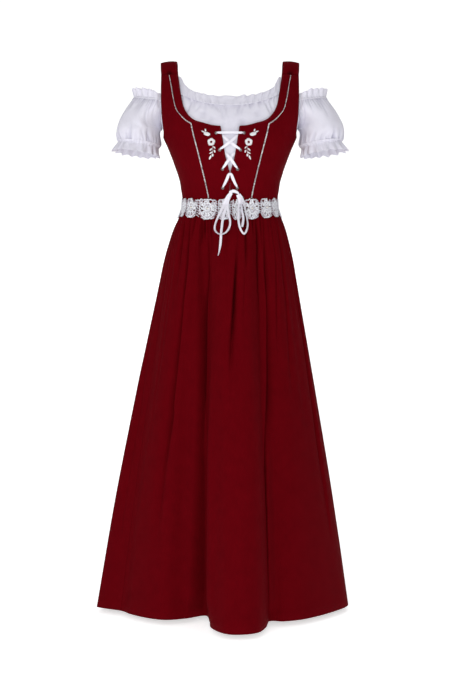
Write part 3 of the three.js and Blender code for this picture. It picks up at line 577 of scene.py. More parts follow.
dressLook = wovenCloth("dress_cloth", {
    "dark": "53030a", "light": "65050e", "rough": (0.7, 0.85), "pitch": 0.7, "weave": 0.5,
    "slub": (900, 60, 1), "crumple": 0.12, "crumpleScale": 45, "patchScale": 36,
    "sheen": 0.01, "sheenTint": "a00818", "specular": 0.015, "specularTint": "c02030",
    "hollow": "2c0105", "hollowDeep": 10.0,
})
blouseLook = wovenCloth("blouse_cotton", {
    "dark": "d9d7e4", "light": "e9e7f1", "rough": (0.75, 0.9), "pitch": 0.55, "weave": 0.4,
    "slub": (1200, 90, 1), "crumple": 0.25, "crumpleScale": 60, "patchScale": 14,
    "sheen": 0.1, "sheenTint": "ffffff", "specular": 0.25, "specularTint": "ffffff",
    "hollow": "aaa7bd", "hollowDeep": 6.5,
})
ribbonLook = wovenCloth("white_ribbon", {
    "dark": "e6e3ef", "light": "f4f2fa", "rough": (0.38, 0.5), "pitch": 0.35, "weave": 0.3,
    "slub": (1500, 40, 1), "crumple": 0.1, "crumpleScale": 80, "patchScale": 30,
    "sheen": 0.1, "sheenTint": "ffffff", "specular": 0.45, "specularTint": "ffffff",
    "hollow": "c9c6d6", "hollowDeep": 10.0,
})
laceLook = lacedCord("lace_cord", {
    "net": "b08c94", "thread": "b9b9c3", "cord": "f4f5fa", "netAt": 0.05, "threadAt": 0.35, "cordAt": 0.85,
    "patchScale": 360, "patchWeight": 2.0, "riseWeight": 0.5, "low": -0.9, "rough": (0.6, 0.8), "pitch": 0.9,
    "ridge": 0.7, "specular": 0.3,
})
braidLook = threadLook("silver_braid", {
    "dark": "857d81", "light": "ffffff", "rough": (0.35, 0.55), "pitch": 0.5, "ridge": 0.6,
    "patchScale": 260, "even": 0.34,
})
eyeletLook = threadLook("dull_nickel", {
    "dark": "7c756f", "light": "a39c96", "rough": (0.28, 0.45), "pitch": 2.0, "ridge": 0.05,
    "patchScale": 400, "metal": 1.0,
})
silkLook = threadLook("white_silk", {
    "dark": "dedee0", "light": "f2f2f3", "rough": (0.35, 0.5), "pitch": 0.4, "ridge": 0.5,
    "patchScale": 300, "sheen": 0.1,
})
redThreadLook = threadLook("red_thread", {
    "dark": "4a030a", "light": "7a0c18", "rough": (0.5, 0.65), "pitch": 0.4, "ridge": 0.5,
    "patchScale": 300,
})
pearlLook = threadLook("small_pearl", {
    "dark": "e6e0cf", "light": "f4efe2", "rough": (0.15, 0.25), "pitch": 3.0, "ridge": 0.02,
    "patchScale": 500,
})
print("materials ready")

# The skirt, whose lines the bow needs too.
skirt = {
    "hem": [  # degrees round the waist, then x and y of the hem below
        (-100, -319, 12), (-91, -309, -14), (-82, -258, -50), (-70, -232, -90), (-58, -190, -134),
        (-46, -146, -156), (-36, -98, -138), (-29, -56, -108), (-24, -47, -170), (-17, -42, -240),
        (-8, -14, -299), (3, 22, -312), (14, 62, -290), (22, 80, -236), (30, 90, -172),
        (42, 122, -172), (55, 164, -152), (68, 208, -108), (80, 250, -52), (92, 281, 4),
        (101, 284, 52), (111, 246, 104), (119, 222, 166), (129, 176, 206), (139, 138, 170),
        (148, 112, 226), (158, 68, 252), (168, 30, 194), (178, -2, 234), (188, -50, 264),
        (198, -92, 204), (208, -120, 240), (219, -168, 240), (229, -198, 172), (238, -246, 172),
        (248, -290, 108),
    ],
    "spread": [  # share down, share of the way out to the hem
        (0, 0), (0.02, 0.045), (0.05, 0.112), (0.08, 0.16), (0.13, 0.226), (0.18, 0.274),
        (0.33, 0.418), (0.48, 0.56), (0.73, 0.787), (1, 1),
    ],
    # Folds seen in front, from the wearer's right to left. Each row is the share down, degrees, depth,
    # and the width on either side of the fold's line.
    "folds": [
        [(0.3, -91, 0, 8, 5), (0.4, -89.5, 2, 7, 5), (0.5, -88, 3.6, 8, 5), (0.62, -88, 3.4, 7, 5),
         (0.7, -88, 4, 6, 5), (0.78, -87.3, 2, 9, 5), (0.85, -87, 0, 9, 5)],
        [(0, -61, 4, 3, 3), (0.04, -59.3, 7.5, 2.5, 2.5), (0.08, -59.3, 12, 2.5, 4), (0.12, -60, 9, 4, 6),
         (0.16, -59.4, 3.1, 7, 6), (0.25, -59.5, 0, 10, 8)],
        [(0, -52.2, 1.8, 2.5, 2.5), (0.04, -51, 2.4, 2.5, 3), (0.09, -53.2, 0, 2.5, 2.5)],
        [(0, -50.5, 1.6, 2.5, 2.5), (0.05, -49.1, 2.3, 2.5, 2.5), (0.13, -48.1, 6.8, 2.5, 3.8),
         (0.21, -48.7, 7.5, 3, 3), (0.29, -49.1, 11, 5, 2.5), (0.365, -49.8, 19, 7.5, 2.5),
         (0.44, -50.6, 22, 10, 2.5), (0.49, -52.4, 18, 11, 4.2), (0.52, -53.4, 13, 10, 8),
         (0.6, -55.4, 8, 9.4, 10), (0.68, -56, 5, 10.5, 10.5), (0.82, -55, 0, 14, 9)],
        [(0, -43.3, 2.8, 3, 3), (0.04, -42.6, 3.2, 3, 2.5), (0.07, -44.2, 2.3, 3, 2.5),
         (0.1, -44.7, 0, 3, 2.5)],
        [(0, -33.1, 2.4, 2.5, 2.5), (0.04, -33.2, 3.2, 2.5, 2.5), (0.072, -33.8, 5.5, 2.5, 3.8),
         (0.11, -34, 1.8, 4, 6), (0.14, -34, 0, 4, 6)],
        [(0, -29.6, 3.6, 2.5, 2.5), (0.05, -30.2, 6.2, 2.5, 2.5), (0.07, -30.5, 3.4, 2.5, 3.8),
         (0.095, -30.5, 0, 2.5, 3.8)],
        [(0, -26.6, 1.3, 2.5, 2.5), (0.043, -25.9, 2.1, 2.5, 2.5), (0.112, -25, 6.2, 4.2, 2.5),
         (0.18, -25, 10, 4.2, 3.4), (0.247, -26.9, 9.6, 4.6, 2.5), (0.316, -28, 9.1, 6.7, 2.5),
         (0.385, -28.3, 10, 9.4, 2.5), (0.452, -29.1, 6, 12, 2.5), (0.521, -29.8, 2.6, 15, 2.5),
         (0.594, -30.2, 0.8, 16, 2.5), (0.68, -29.4, 0, 16, 2.5)],
        [(0, -21, 2.2, 3, 2.5), (0.053, -20.9, 3.9, 3, 2.5), (0.093, -20.4, 2.6, 3, 3),
         (0.125, -20.5, 0, 3, 3)],
        [(0, -3, 1, 4.2, 4.2), (0.084, -4, 3, 4.2, 4.2), (0.124, -5.2, 1.8, 4.2, 5), (0.155, -5.9, 0, 6, 6)],
        [(0, 7.7, 0.8, 2.5, 2.5), (0.074, 6.3, 1.8, 3, 2.5), (0.124, 5, 2.6, 2.5, 2.5),
         (0.173, 3.6, 5.5, 3, 3),
         (0.222, 2.3, 8, 3.4, 4), (0.269, 1.1, 9, 3.6, 6.3), (0.316, 0.2, 7.6, 6.3, 6.3),
         (0.365, -1, 6, 8.4, 9.4), (0.411, -1.6, 2.4, 8.4, 10), (0.51, -3.5, 1.4, 12, 10),
         (0.57, -4.4, 0, 12, 10)],
        [(0, 16.5, 2.2, 3, 3), (0.054, 15.1, 4.7, 2.5, 3.4), (0.084, 14.4, 5, 2.5, 4.2),
         (0.123, 13.8, 4.9, 3, 4.2), (0.143, 14, 2.3, 6, 5), (0.175, 14.5, 0, 6, 4)],
        [(0.149, 12.4, 0, 2.5, 4.2), (0.173, 12, 1.3, 2.5, 3), (0.265, 10, 1.2, 4, 4), (0.31, 9.4, 0, 4, 4)],
        [(0, 24.8, 3.6, 2.5, 2.5), (0.043, 24, 4.4, 2.5, 2.5), (0.07, 24.2, 1.8, 2.5, 2.5),
         (0.1, 25, 0, 3, 2.5)],
        [(0, 29.5, 1, 3, 3), (0.043, 29.2, 2, 3, 3), (0.072, 29.8, 6.2, 2.5, 2.5),
         (0.102, 29.3, 8.3, 2.5, 2.5),
         (0.146, 28, 10.4, 2.5, 3), (0.19, 27.8, 5.2, 2.5, 4.2), (0.249, 28.3, 2.6, 2.5, 3),
         (0.306, 28.2, 1.6, 2.5, 2.5), (0.36, 28, 0, 2.5, 2.5)],
        [(0, 35.7, 2.6, 2.5, 2.5), (0.052, 35.7, 2.9, 3, 2.5), (0.087, 36, 2.1, 3.8, 2.5),
         (0.125, 35.8, 0, 3.8, 2.5)],
        [(0, 39.8, 2.2, 2.5, 2.5), (0.041, 39.6, 2.9, 2.5, 2.5), (0.096, 39.6, 4.2, 3.8, 3),
         (0.15, 39.6, 7.3, 5.5, 3.8), (0.247, 39.4, 8, 4, 9), (0.345, 37.6, 10, 3.5, 12),
         (0.442, 35.6, 12, 3, 14), (0.524, 32.6, 11, 3, 13), (0.585, 30.4, 11, 3, 10),
         (0.652, 29.3, 12, 3, 5.5), (0.747, 29, 8.3, 2, 4.2), (0.841, 29.2, 3, 2, 4), (1, 29.3, 2, 2, 5)],
        [(0, 52.4, 2.7, 3, 3), (0.04, 52.1, 2.9, 3.4, 3.4), (0.09, 52.9, 2.4, 3.8, 2.5),
         (0.13, 53, 2.9, 2.5, 3),
         (0.189, 52, 4.2, 3, 3), (0.247, 50.2, 3.1, 2.5, 3.4), (0.316, 48.7, 1.6, 2.5, 4.2),
         (0.4, 47.7, 0, 2.5, 4.2)],
        [(0, 62, 2.1, 2.5, 3), (0.04, 62.3, 3, 2.5, 3.4), (0.08, 63.6, 5.5, 2.5, 2.5),
         (0.12, 64.1, 5.7, 2.5, 3.8),
         (0.16, 64.6, 4.7, 3.8, 4.2), (0.237, 65, 3.4, 4.2, 2.5), (0.316, 63, 2.9, 4.2, 5.5),
         (0.385, 61.9, 1.8, 6.3, 10), (0.485, 59.4, 0, 12, 16)],
    ],
    "foldDeep": 1.9, "foldWide": 0.95, "foldSharp": 1.4,
    # the lip beside a steep side: height, distance from the fold's line, width,
    # and the fold's depth for a full one
    "lip": {"high": 1.2, "at": 4.5, "wide": 2.6, "full": 8},
    # where the cloth stands fuller than the line of the hem shows: degrees, width, top share, x and y
    "swell": [(-17.5, 4, 0.28, -9, -14), (21, 4.2, 0.3, 0, -12), (-31, 6, 0.15, 0, -34),
              (31, 5, 0.3, 0, -28)],
    # similar folds round the sides and back, each with its strength by the share of its own length
    "hidden": {
        "seed": 77, "count": 17, "fromDeg": 78, "toDeg": 266, "foot": [0.16, 0.28, 0.42, 0.62, 0.85],
        "deep": (4.5, 10), "drift": 4, "soft": (3.5, 11), "steep": 2.6,
        "strength": ((0, 0.25), (0.15, 0.6), (0.35, 1), (0.6, 0.9), (0.8, 0.5), (1, 0)),
    },
    # small soft folds all round, lower in front
    "small": {
        "seed": 21, "count": 46, "scatter": 3, "foot": (0.18, 0.75), "frontTo": 72,
        "deepFront": (0.6, 1.8), "deep": (1.2, 3.6), "wide": (1.6, 3.2),
    },
    "seamLeft": -82, "seamRight": 98, "seamDeg": 0.01,
    "gathers": 56, "gatherDepth": 8.5, "gatherFade": 0.075,
    "fineGathers": 120, "fineDepth": 1.4, "fineFade": 0.03,
    # how strongly the mesh's columns crowd at a fold, and how far from its line
    "crowd": 1.6, "crowdWide": 5.0, "lineUp": 1.7, "frontGrid": (430, 96), "backGrid": (310, 80),
}


# The skirt without its folds: t is 0 at the waist and 1 at the hem.
def skirtBase(deg, t):
    deg, t = np.broadcast_arrays(np.asarray(deg, float), t)
    waist = torsoPoint(deg, sizes["waistZ"])
    grow = tableAt(skirt["spread"], t)
    foot = tableAt(skirt["hem"], deg, 360)
    z = mix(sizes["waistZ"] - sizes["seamGap"], sizes["hemZ"], t)
    return np.concatenate([mix(waist[..., :2], foot, grow), z[..., None]], -1)


def shareDown(z):
    return np.clip((sizes["waistZ"] - z) / (sizes["waistZ"] - sizes["hemZ"]), 0, 1)


# A point in front of the dress, by its place in the front view and how far it stands off the cloth.
def frontPoint(x, z, out):
    x, z, out = np.broadcast_arrays(np.asarray(x, float), np.asarray(z, float), np.asarray(out, float))
    above = torsoPoint(degAtX(x, z), z, out)
    t = shareDown(z)
    deg = degAtX(x, np.full(x.shape, float(sizes["waistZ"]))) * 0.8
    for _ in range(6):
        deg = deg + (x - skirtBase(deg, t)[..., 0]) * 0.45
    y = skirtBase(deg, t)[..., 1] - out
    return np.where((z >= sizes["waistZ"])[..., None], above, np.stack([x, y, z], -1))


# Lacing and bow. Heights are how far the ribbon's face stands off the cloth.
lacing = {
    "eyelets": [(31.8, -190), (24, -229), (17.3, -272), (16.8, -314)],
    "ribbonWidth": 6.8, "ribbonCloth": 0.63,
    # how the ribbon comes out of an eyelet: distance from its middle, height, and share of the width
    "rise": [(0, -0.9, 0.3), (1.2, 3.2, 0.3), (3.2, 4.6, 0.5), (5.4, 4.2, 0.72), (9, 2.2, 0.8)],
    "bar": (0, -188.5, 1.8, 1), "steps": 90,
    "crossings": [
        {"from": 1, "to": 0, "middle": (0.5, -211.5), "edge": (16.5, -197.5), "over": -1},
        {"from": 2, "to": 1, "middle": (0.5, -247.5), "edge": (9.5, -238), "over": 1},
    ],
    "over": (1.8, 2.2, 1.7, -0.2, -2.6, -2.6), "under": (1.7, -0.1, -1.2, -2.1, -2.9, -2.8),
    "lowest": {"meet": (0.6, -281), "left": (2.4, 2.9, 3.1), "right": (1.7, 1.6, 1.6), "steps": 60},
}
bow = {
    "knot": {
        "left": (-2, -325), "right": (19.5, -327), "arch": 4, "tall": 7.6, "deep": 4.4, "standOff": 3.8,
        "ridges": 3.2, "ridgeHigh": 0.35, "ends": 0.8, "cloth": 0.7, "grid": (48, 40),
    },
    "steps": {"loop": 150, "tail": 80},
    "loops": {  # x, z, how far the face stands off the cloth, share of the width, and the twist in degrees
        "right": [
            (4, -326, 7.2, 1, 0), (-3, -332, 8, 1, 8), (-9, -343, 8.2, 1, 15), (-14, -354, 8, 1, 20),
            (-21, -369, 7.4, 1, 28), (-27.5, -383, 7, 1, 45), (-33.5, -399, 6.6, 1, 55),
            (-35, -411, 6.4, 1, 50), (-29.5, -420.5, 6.4, 1, 62), (-19.5, -424, 6.4, 1, 66),
            (-9.5, -419.5, 6.4, 1, 55), (-2.5, -409, 6.4, 1, 48), (0, -396, 6.4, 1, 52),
            (-3.5, -376, 6.8, 1, 42), (-6, -355, 7.2, 1, 30), (-3.5, -338, 7.2, 1, 15),
            (1.5, -329, 7.2, 1, 0),
        ],
        "left": [
            (16.5, -330, 7.4, 1, 0), (19.5, -339, 7.8, 1, -20), (20.5, -348, 7.6, 1, -40),
            (19.5, -364, 7, 1, -45), (19, -384, 6.6, 1, -35), (21, -402, 6.4, 1, -45),
            (26, -417, 6.4, 1, -50), (32.5, -424, 6.4, 1, -60), (38.5, -416, 6.4, 1, -58),
            (41.5, -402, 6.4, 1, -60), (40, -386, 6.6, 1, -62), (36, -366, 7, 1, -60),
            (31.5, -349, 7.6, 1, -50), (26, -337.5, 7.8, 1, -20), (19.5, -329, 7, 1, 0),
        ],
    },
    "tails": {
        "right": [
            (1.5, -329, 5, 1, 0), (-3, -340, 5.4, 1, 8), (-7.5, -354, 5.6, 1, 12), (-12, -368, 5.6, 1, 20),
            (-15.5, -383, 5.2, 1, 30), (-18, -400, 4.8, 1, 34), (-20, -420, 4.6, 1, 38),
            (-21.3, -438, 4.6, 1, 32), (-22.5, -452, 4.6, 1, 42), (-24.8, -466, 4.4, 0.8, 60),
            (-27, -474.5, 4.2, 0.5, 68),
        ],
        "left": [
            (20, -331, 5, 1, 0), (24, -342, 5.6, 1, -30), (25.8, -354, 5.8, 1, -45), (28, -370, 5.4, 1, -50),
            (30.5, -385, 5, 1, -40), (29.5, -398, 4.8, 0.9, -20), (28, -407, 4.6, 0.7, 0),
        ],
    },
}


# A flat ribbon along rows of x, z, height, share of the width and twist. The last two may be left out.
def ribbonGrid(path, rows, across=9, crown=0.25):
    path = np.array([tuple(p) + (1, 0)[len(p) - 3:] for p in path], float)
    gone = lengthAlong(path[:, :3])
    table = np.hstack([gone[:, None], path])

    def at(v):
        return tableAt(table, np.interp(np.clip(v, 0, 1) * (len(path) - 1), np.arange(len(path)), gone))

    v = np.linspace(0, 1, rows)[:, None]
    u = np.linspace(0, 1, across)[None]
    here, back, ahead = at(v), at(v - 0.02), at(v + 0.02)
    dx, dz = ahead[..., 0] - back[..., 0], ahead[..., 1] - back[..., 1]
    long = np.hypot(dx, dz)
    off = (u - 0.5) * lacing["ribbonWidth"] * here[..., 3]
    lift = crown * (1 - (2 * u - 1) ** 2) - 0.2
    c, s = np.cos(np.radians(here[..., 4])), np.sin(np.radians(here[..., 4]))
    off, lift = off * c - lift * s, off * s + lift * c
    grid = frontPoint(here[..., 0] + dz / long * off, here[..., 1] - dx / long * off, here[..., 2] + lift)
    line = frontPoint(here[:, 0, 0], here[:, 0, 1], here[:, 0, 2] - 0.4)
    return grid, line


def addRibbon(name, path, rows):
    grid, line = ribbonGrid(path, rows)
    mesh = wallMesh(name, grid, lacing["ribbonCloth"])
    return addPiece(name + "_ribbon", mesh, ribbonLook, "ribbon", [name]), line


def lineLength(line):
    return float(np.linalg.norm(np.diff(line, axis=0), axis=1).sum())


for side, _ in bothSides:
    for kind, end in (("loop", "object"), ("tail", "bare")):
        piece, line = addRibbon(f"bow_{kind}_{side}", bow[kind + "s"][side], bow["steps"][kind])
        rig.cord(piece, exit=line[0] * 0.001, length=lineLength(line) * 0.001,
                diameter=lacing["ribbonWidth"] * 0.001, far_end=end, stiffness="limp", lay="hanging",
                path=(line * 0.001).tolist())
        print("bow", kind, side, round(lineLength(line)), "mm")


def mirrorX(grid):
    return grid[:, ::-1] * np.array([-1, 1, 1])


# Rows of the ribbon from the hole of an eyelet towards a point.
def fromEyelet(place, side, towards):
    dx, dz = towards[0] - side * place[0], towards[1] - place[1]
    long = math.hypot(dx, dz)
    return [(side * place[0] + dx / long * away, place[1] + dz / long * away, out, wide)
            for away, out, wide in lacing["rise"]]


def leg(a, b, t):
    return (mix(a[0], b[0], t), mix(a[1], b[1], t))


def addLacing():
    eyes, bar = lacing["eyelets"], lacing["bar"]
    path = fromEyelet(eyes[0], -1, bar) + [bar] + fromEyelet(eyes[0], 1, bar)[::-1]
    addRibbon("lacing_bar", path, lacing["steps"])
    for n, cross in enumerate(lacing["crossings"]):
        for name, side in bothSides:
            heights = lacing["over"] if side == cross["over"] else lacing["under"]
            start = fromEyelet(eyes[cross["from"]], side, (0, cross["middle"][1]))
            a = start[-1][:2]
            b = (side * cross["middle"][0], cross["middle"][1])
            c = (-side * cross["edge"][0], cross["edge"][1])
            behind = (-side * (eyes[cross["to"]][0] - 1.5), mix(c[1], eyes[cross["to"]][1], 0.8))
            addRibbon(f"lacing_cross_{n + 1}_{name}", start + [
                leg(a, b, 0.45) + (heights[0], 1), leg(a, b, 0.75) + (heights[1], 1), b + (heights[2], 1),
                leg(b, c, 0.45) + (heights[3], 1), c + (heights[4], 1), behind + (heights[5], 0.6),
            ], lacing["steps"])
    for name, side in bothSides:
        x, z = lacing["lowest"]["meet"]
        start = fromEyelet(eyes[3], side, (0, z))
        a, meet = start[-1][:2], (side * x, z)
        near = leg(a, meet, 0.8)
        heights = lacing["lowest"][name]
        addRibbon(f"lacing_cross_3_{name}", start + [
            leg(a, meet, 0.5) + (heights[0], 1), (near[0] + side * 0.8, near[1], heights[1], 0.9),
            meet + (heights[2], 0.5),
        ], lacing["lowest"]["steps"])


def addKnot(spec):
    around, along = spec["grid"]
    u = (np.arange(around) / around)[None]
    v = np.linspace(0, 1, along)[:, None]
    angle = 2 * math.pi * u
    # the wrap's ridges run round the knot, and it pinches towards its ends
    ridge = spec["ridgeHigh"] * np.sin(2 * math.pi * (v * spec["ridges"] + 0.15 * np.sin(angle)))
    ridge = ridge + 0.2 * softNoise(5, v * 9, u * 4)
    pinch = spec["ends"] + 0.16 * np.sin(math.pi * v) + 0.03 * ridge
    x = mix(spec["left"][0], spec["right"][0], v) + 0 * u
    z = mix(spec["left"][1], spec["right"][1], v) + spec["arch"] * np.sin(math.pi * v)
    z = z + (spec["tall"] / 2 * pinch) * np.cos(angle)
    out = spec["standOff"] + spec["deep"] / 2 * (1 + pinch * np.sin(angle)) + 0.25 * ridge
    grid = frontPoint(x, z, out)
    mesh = wallMesh("bow_knot", grid, spec["cloth"], closed=True)
    addPiece("bow_knot_ribbon", mesh, ribbonLook, "ribbon", ["bow_knot"])


addLacing()
addKnot(bow["knot"])
print("bow and lacing done")

# Lights, floor and backdrop, in metres. Floor and backdrop are one sweep, curved up behind.
studio = {
    "front": {"place": (-0.6, -3.6, 0.2), "size": 2.0, "power": 48},
    "left": {"place": (-2.6, -2.2, 0.5), "size": 1.8, "power": 7},
    "right": {"place": (2.6, -2.2, 0.3), "size": 2.0, "power": 5.5},
    "over": {"place": (0.2, 0.9, 2.2), "size": 2.2, "power": 22},
    "aim": (0, 0, -0.62), "world": 0.33,
    "sweep": {"floor": -1.322, "near": -6.5, "far": 4.6, "bend": 0.9, "high": 6.2, "wide": 7.5},
    "paper": {"dark": 0.9, "light": 0.93, "glow": 0.6, "rough": 0.9},
}


def addLight(name, spec, aim):
    data = bpy.data.lights.new(name, "AREA")
    data.size, data.energy = spec["size"], spec["power"]
    light = bpy.data.objects.new(name, data)
    light.location = spec["place"]
    way = np.array(aim) - np.array(spec["place"])
    flat = math.hypot(way[0], way[1])
    light.rotation_euler = (math.pi / 2 - math.atan2(-way[2], flat) if flat else 0, 0,
                            math.atan2(way[1], way[0]) - math.pi / 2)
    scene.collection.objects.link(light)


def addStudio(spec):
    for name in ("front", "left", "right", "over"):
        addLight(name, spec[name], spec["aim"])
    world = bpy.data.worlds.new("studio")
    world.use_nodes = True
    background = world.node_tree.nodes["Background"].inputs
    background["Color"].default_value = (1, 1, 1, 1)
    background["Strength"].default_value = spec["world"]
    scene.world = world
    size, paper = spec["sweep"], spec["paper"]
    bends = np.linspace(0.08, math.pi / 2, 14)
    y = [size["near"], size["far"], *(size["far"] + size["bend"] * np.sin(bends)), size["far"] + size["bend"]]
    z = [0, 0, *(size["bend"] * (1 - np.cos(bends))), size["high"]]
    x = np.array([-size["wide"], 0, size["wide"]])
    y, z = np.array(y)[:, None], np.array(z)[:, None] + size["floor"]
    grid = np.stack(np.broadcast_arrays(x, y, z), -1) * 1000
    sweep = bpy.data.objects.new("studio_sweep", wallMesh("studio_sweep", grid, 2))
    material, shader, fill, add = newMaterial("studio_paper")
    grain = add("ShaderNodeTexNoise", "Fac", {"Scale": 6.0, "Detail": 2.0})
    fill(shader, {
        "Base Color": blend(add, grain, (paper["dark"],) * 3 + (1,), (paper["light"],) * 3 + (1,)),
        "Roughness": paper["rough"], "Emission Color": (1, 1, 1, 1), "Emission Strength": paper["glow"],
    })
    sweep.data.materials.append(material)
    scene.collection.objects.link(sweep)
    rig.stage(sweep)


addStudio(studio)
scene.view_settings.view_transform = "Standard"
print("studio done")


# The turn from b to a in degrees, the short way round.
def turnBetween(a, b):
    return np.mod(a - b + 180, 360) - 180


# Folds like those in front, round the sides and the back.
def hiddenFolds(spec):
    random = np.random.RandomState(spec["seed"])
    folds = []
    for n in range(spec["count"]):
        start = mix(spec["fromDeg"], spec["toDeg"], (n + random.uniform(0.15, 0.85)) / spec["count"])
        bottom, deep = random.choice(spec["foot"]), random.uniform(*spec["deep"])
        steep = random.choice([0, 1])
        drift = random.uniform(-spec["drift"], spec["drift"])
        rows = []
        for share, strength in spec["strength"]:
            soft = mix(*spec["soft"], share * bottom / 0.7) * random.uniform(0.8, 1.2)
            widths = (soft, spec["steep"]) if steep else (spec["steep"], soft)
            line = start + drift * share + random.uniform(-0.4, 0.4)
            rows.append((share * bottom, line, deep * strength, *widths))
        folds.append(rows)
    return folds


skirt["folds"] += hiddenFolds(skirt["hidden"])


# Millimetres round the skirt for one degree.
def roundTop(t):
    return 2.0 + 3.0 * tableAt(skirt["spread"], t)[..., 0]


# Distance in mm from a fold's line, and the fold's depth and widths there.
def besideFold(fold, deg, t):
    line, deep, before, after = np.moveaxis(tableAt(fold, t), -1, 0)
    shown = (t >= fold[0][0]) & (t <= fold[-1][0])
    return turnBetween(deg, line) * roundTop(t), np.where(shown, np.maximum(deep, 0), 0), before, after


def foldDepth(deg, t):
    deg, t = np.broadcast_arrays(deg, t)
    lip = skirt["lip"]
    total = np.zeros(deg.shape)
    for fold in skirt["folds"]:
        off, deep, before, after = besideFold(fold, deg, t)
        wide = np.where(off < 0, before, after) * skirt["foldWide"]
        total += skirt["foldDeep"] * deep * np.exp(-(np.abs(off) / wide) ** skirt["foldSharp"])
        # the steeper side of a deep fold lies over as a rounded lip
        beyond = np.where(before < after, -off, off) - lip["at"]
        total -= lip["high"] * np.clip(deep / lip["full"], 0, 1) * np.exp(-((beyond / lip["wide"]) ** 2))
    return total


# The front of the skirt stands out as one wide lobe with fuller corners and shallow hollows beside it.
def swellOut(deg, t):
    total = np.zeros(np.broadcast(deg, t).shape + (3,))
    down = 1 - smooth((t - 0.93) / 0.07)
    for middle, wide, top, x, y in skirt["swell"]:
        share = np.exp(-((deg - middle) / wide) ** 2) * smooth((t - top) / 0.35) * down
        total += share[..., None] * np.array([x, y, 0])
    return total


# Uneven gathers that start at the waist and run out, and finer ones just below the seam.
def gatherDepth(deg, t):
    warp = deg + 1.8 * softNoise(11, deg / 9) + 1.2 * softNoise(12, deg / 7, t * 5)
    amount = np.clip(0.5 + 0.6 * softNoise(13, deg / 4.4, t * 4), 0.05, 1)
    wave = (0.5 - 0.5 * np.cos(np.radians(warp) * skirt["gathers"])) ** 2.4
    wave = wave * mix(0.5, 1.0, smooth((np.abs(turnBetween(deg, 0)) - 62) / 12))
    reach = skirt["gatherFade"] * (1 + 0.7 * softNoise(15, deg / 5.1))
    long = skirt["gatherDepth"] * wave * amount * np.exp(-t / reach)
    fineWarp = np.radians(deg + 0.8 * softNoise(14, deg / 3)) * skirt["fineGathers"]
    fine = skirt["fineDepth"] * (0.5 - 0.5 * np.cos(fineWarp)) ** 1.6 * np.exp(-t / skirt["fineFade"])
    return (long + fine) * smooth((t + 0.004) / 0.016)


def smallFolds(deg, t):
    spec = skirt["small"]
    random = np.random.RandomState(spec["seed"])
    total = np.zeros(np.broadcast(deg, t).shape)
    for n in range(spec["count"]):
        start = n * 360 / spec["count"] + random.uniform(-spec["scatter"], spec["scatter"])
        drift = random.uniform(-spec["scatter"], spec["scatter"])
        bottom = random.uniform(*spec["foot"])
        inFront = abs(turnBetween(start, 0)) < spec["frontTo"]
        deep = random.uniform(*spec["deepFront" if inFront else "deep"])
        wide = random.uniform(*spec["wide"])
        share = np.clip(t / bottom, 0, 1)
        off = turnBetween(deg, start + drift * share) / (wide * (1 - 0.35 * share))
        total += deep * np.sin(math.pi * np.sqrt(share)) * np.exp(-off * off)
    return total


def skirtPoint(deg, t):
    base = skirtBase(deg, t)
    inwards = foldDepth(deg, t) + gatherDepth(deg, t) + smallFolds(deg, t)
    base[..., :2] *= 1 - (inwards / np.hypot(base[..., 0], base[..., 1]))[..., None]
    return base + swellOut(turnBetween(deg, 0), t)


# Columns of the mesh, drawn together along the folds.
def foldColumns(fromDeg, toDeg, t, count):
    fine = np.linspace(fromDeg, toDeg, 1800)[None]
    weight = np.ones((t.shape[0], fine.shape[1])) * roundTop(t)
    for fold in skirt["folds"]:
        off, deep, _, _ = besideFold(fold, fine, t)
        weight += skirt["crowd"] * deep * np.exp(-((off / skirt["crowdWide"]) ** 2))
    total = np.cumsum(weight, axis=1)
    total = (total - total[:, :1]) / (total[:, -1:] - total[:, :1])
    share = np.linspace(0, 1, count)
    return np.stack([np.interp(share, row, fine[0]) for row in total])


def addDressPiece(name, grid, **walls):
    mesh = wallMesh(name, grid, sizes["dressCloth"], **walls)
    return addPiece(name + "_cloth", mesh, dressLook, "dress_cloth", [name])


# One half of the skirt. Its rows lie closer towards the waist.
def addSkirt(name, fromDeg, toDeg, size):
    gap = skirt["seamDeg"]
    t = (np.linspace(1, 0, size[1]) ** skirt["lineUp"])[:, None]
    deg = foldColumns(fromDeg + gap, toDeg - gap, t, size[0])
    grid = skirtPoint(deg, t)
    wide = np.cumsum(np.linalg.norm(np.diff(grid, axis=1, prepend=grid[:, :1]), axis=-1), axis=1)
    wide -= wide[:, size[0] // 2][:, None]
    tall = np.cumsum(np.linalg.norm(np.diff(grid, axis=0, prepend=grid[:1]), axis=-1).mean(1))
    place = np.stack([wide, np.broadcast_to(tall[:, None], wide.shape)], -1)
    piece = addDressPiece(name, grid, place=place)
    print(name, "foot", round(lineLength(grid[0])), "tall", round(float(tall[-1])))
    return piece


skirtFront = addSkirt("skirt_front", skirt["seamLeft"], skirt["seamRight"], skirt["frontGrid"])
skirtBack = addSkirt("skirt_back", skirt["seamRight"], skirt["seamLeft"] + 360, skirt["backGrid"])
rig.sheet(skirtFront, flat=(1.02, 0.98), area=0.76, held="gathered",
         rests_on=["bodice_front_left", "bodice_front_right"])
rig.sheet(skirtBack, flat=(1.16, 0.98), area=0.84, held="gathered", rests_on=["bodice_back"])
print("skirt done")

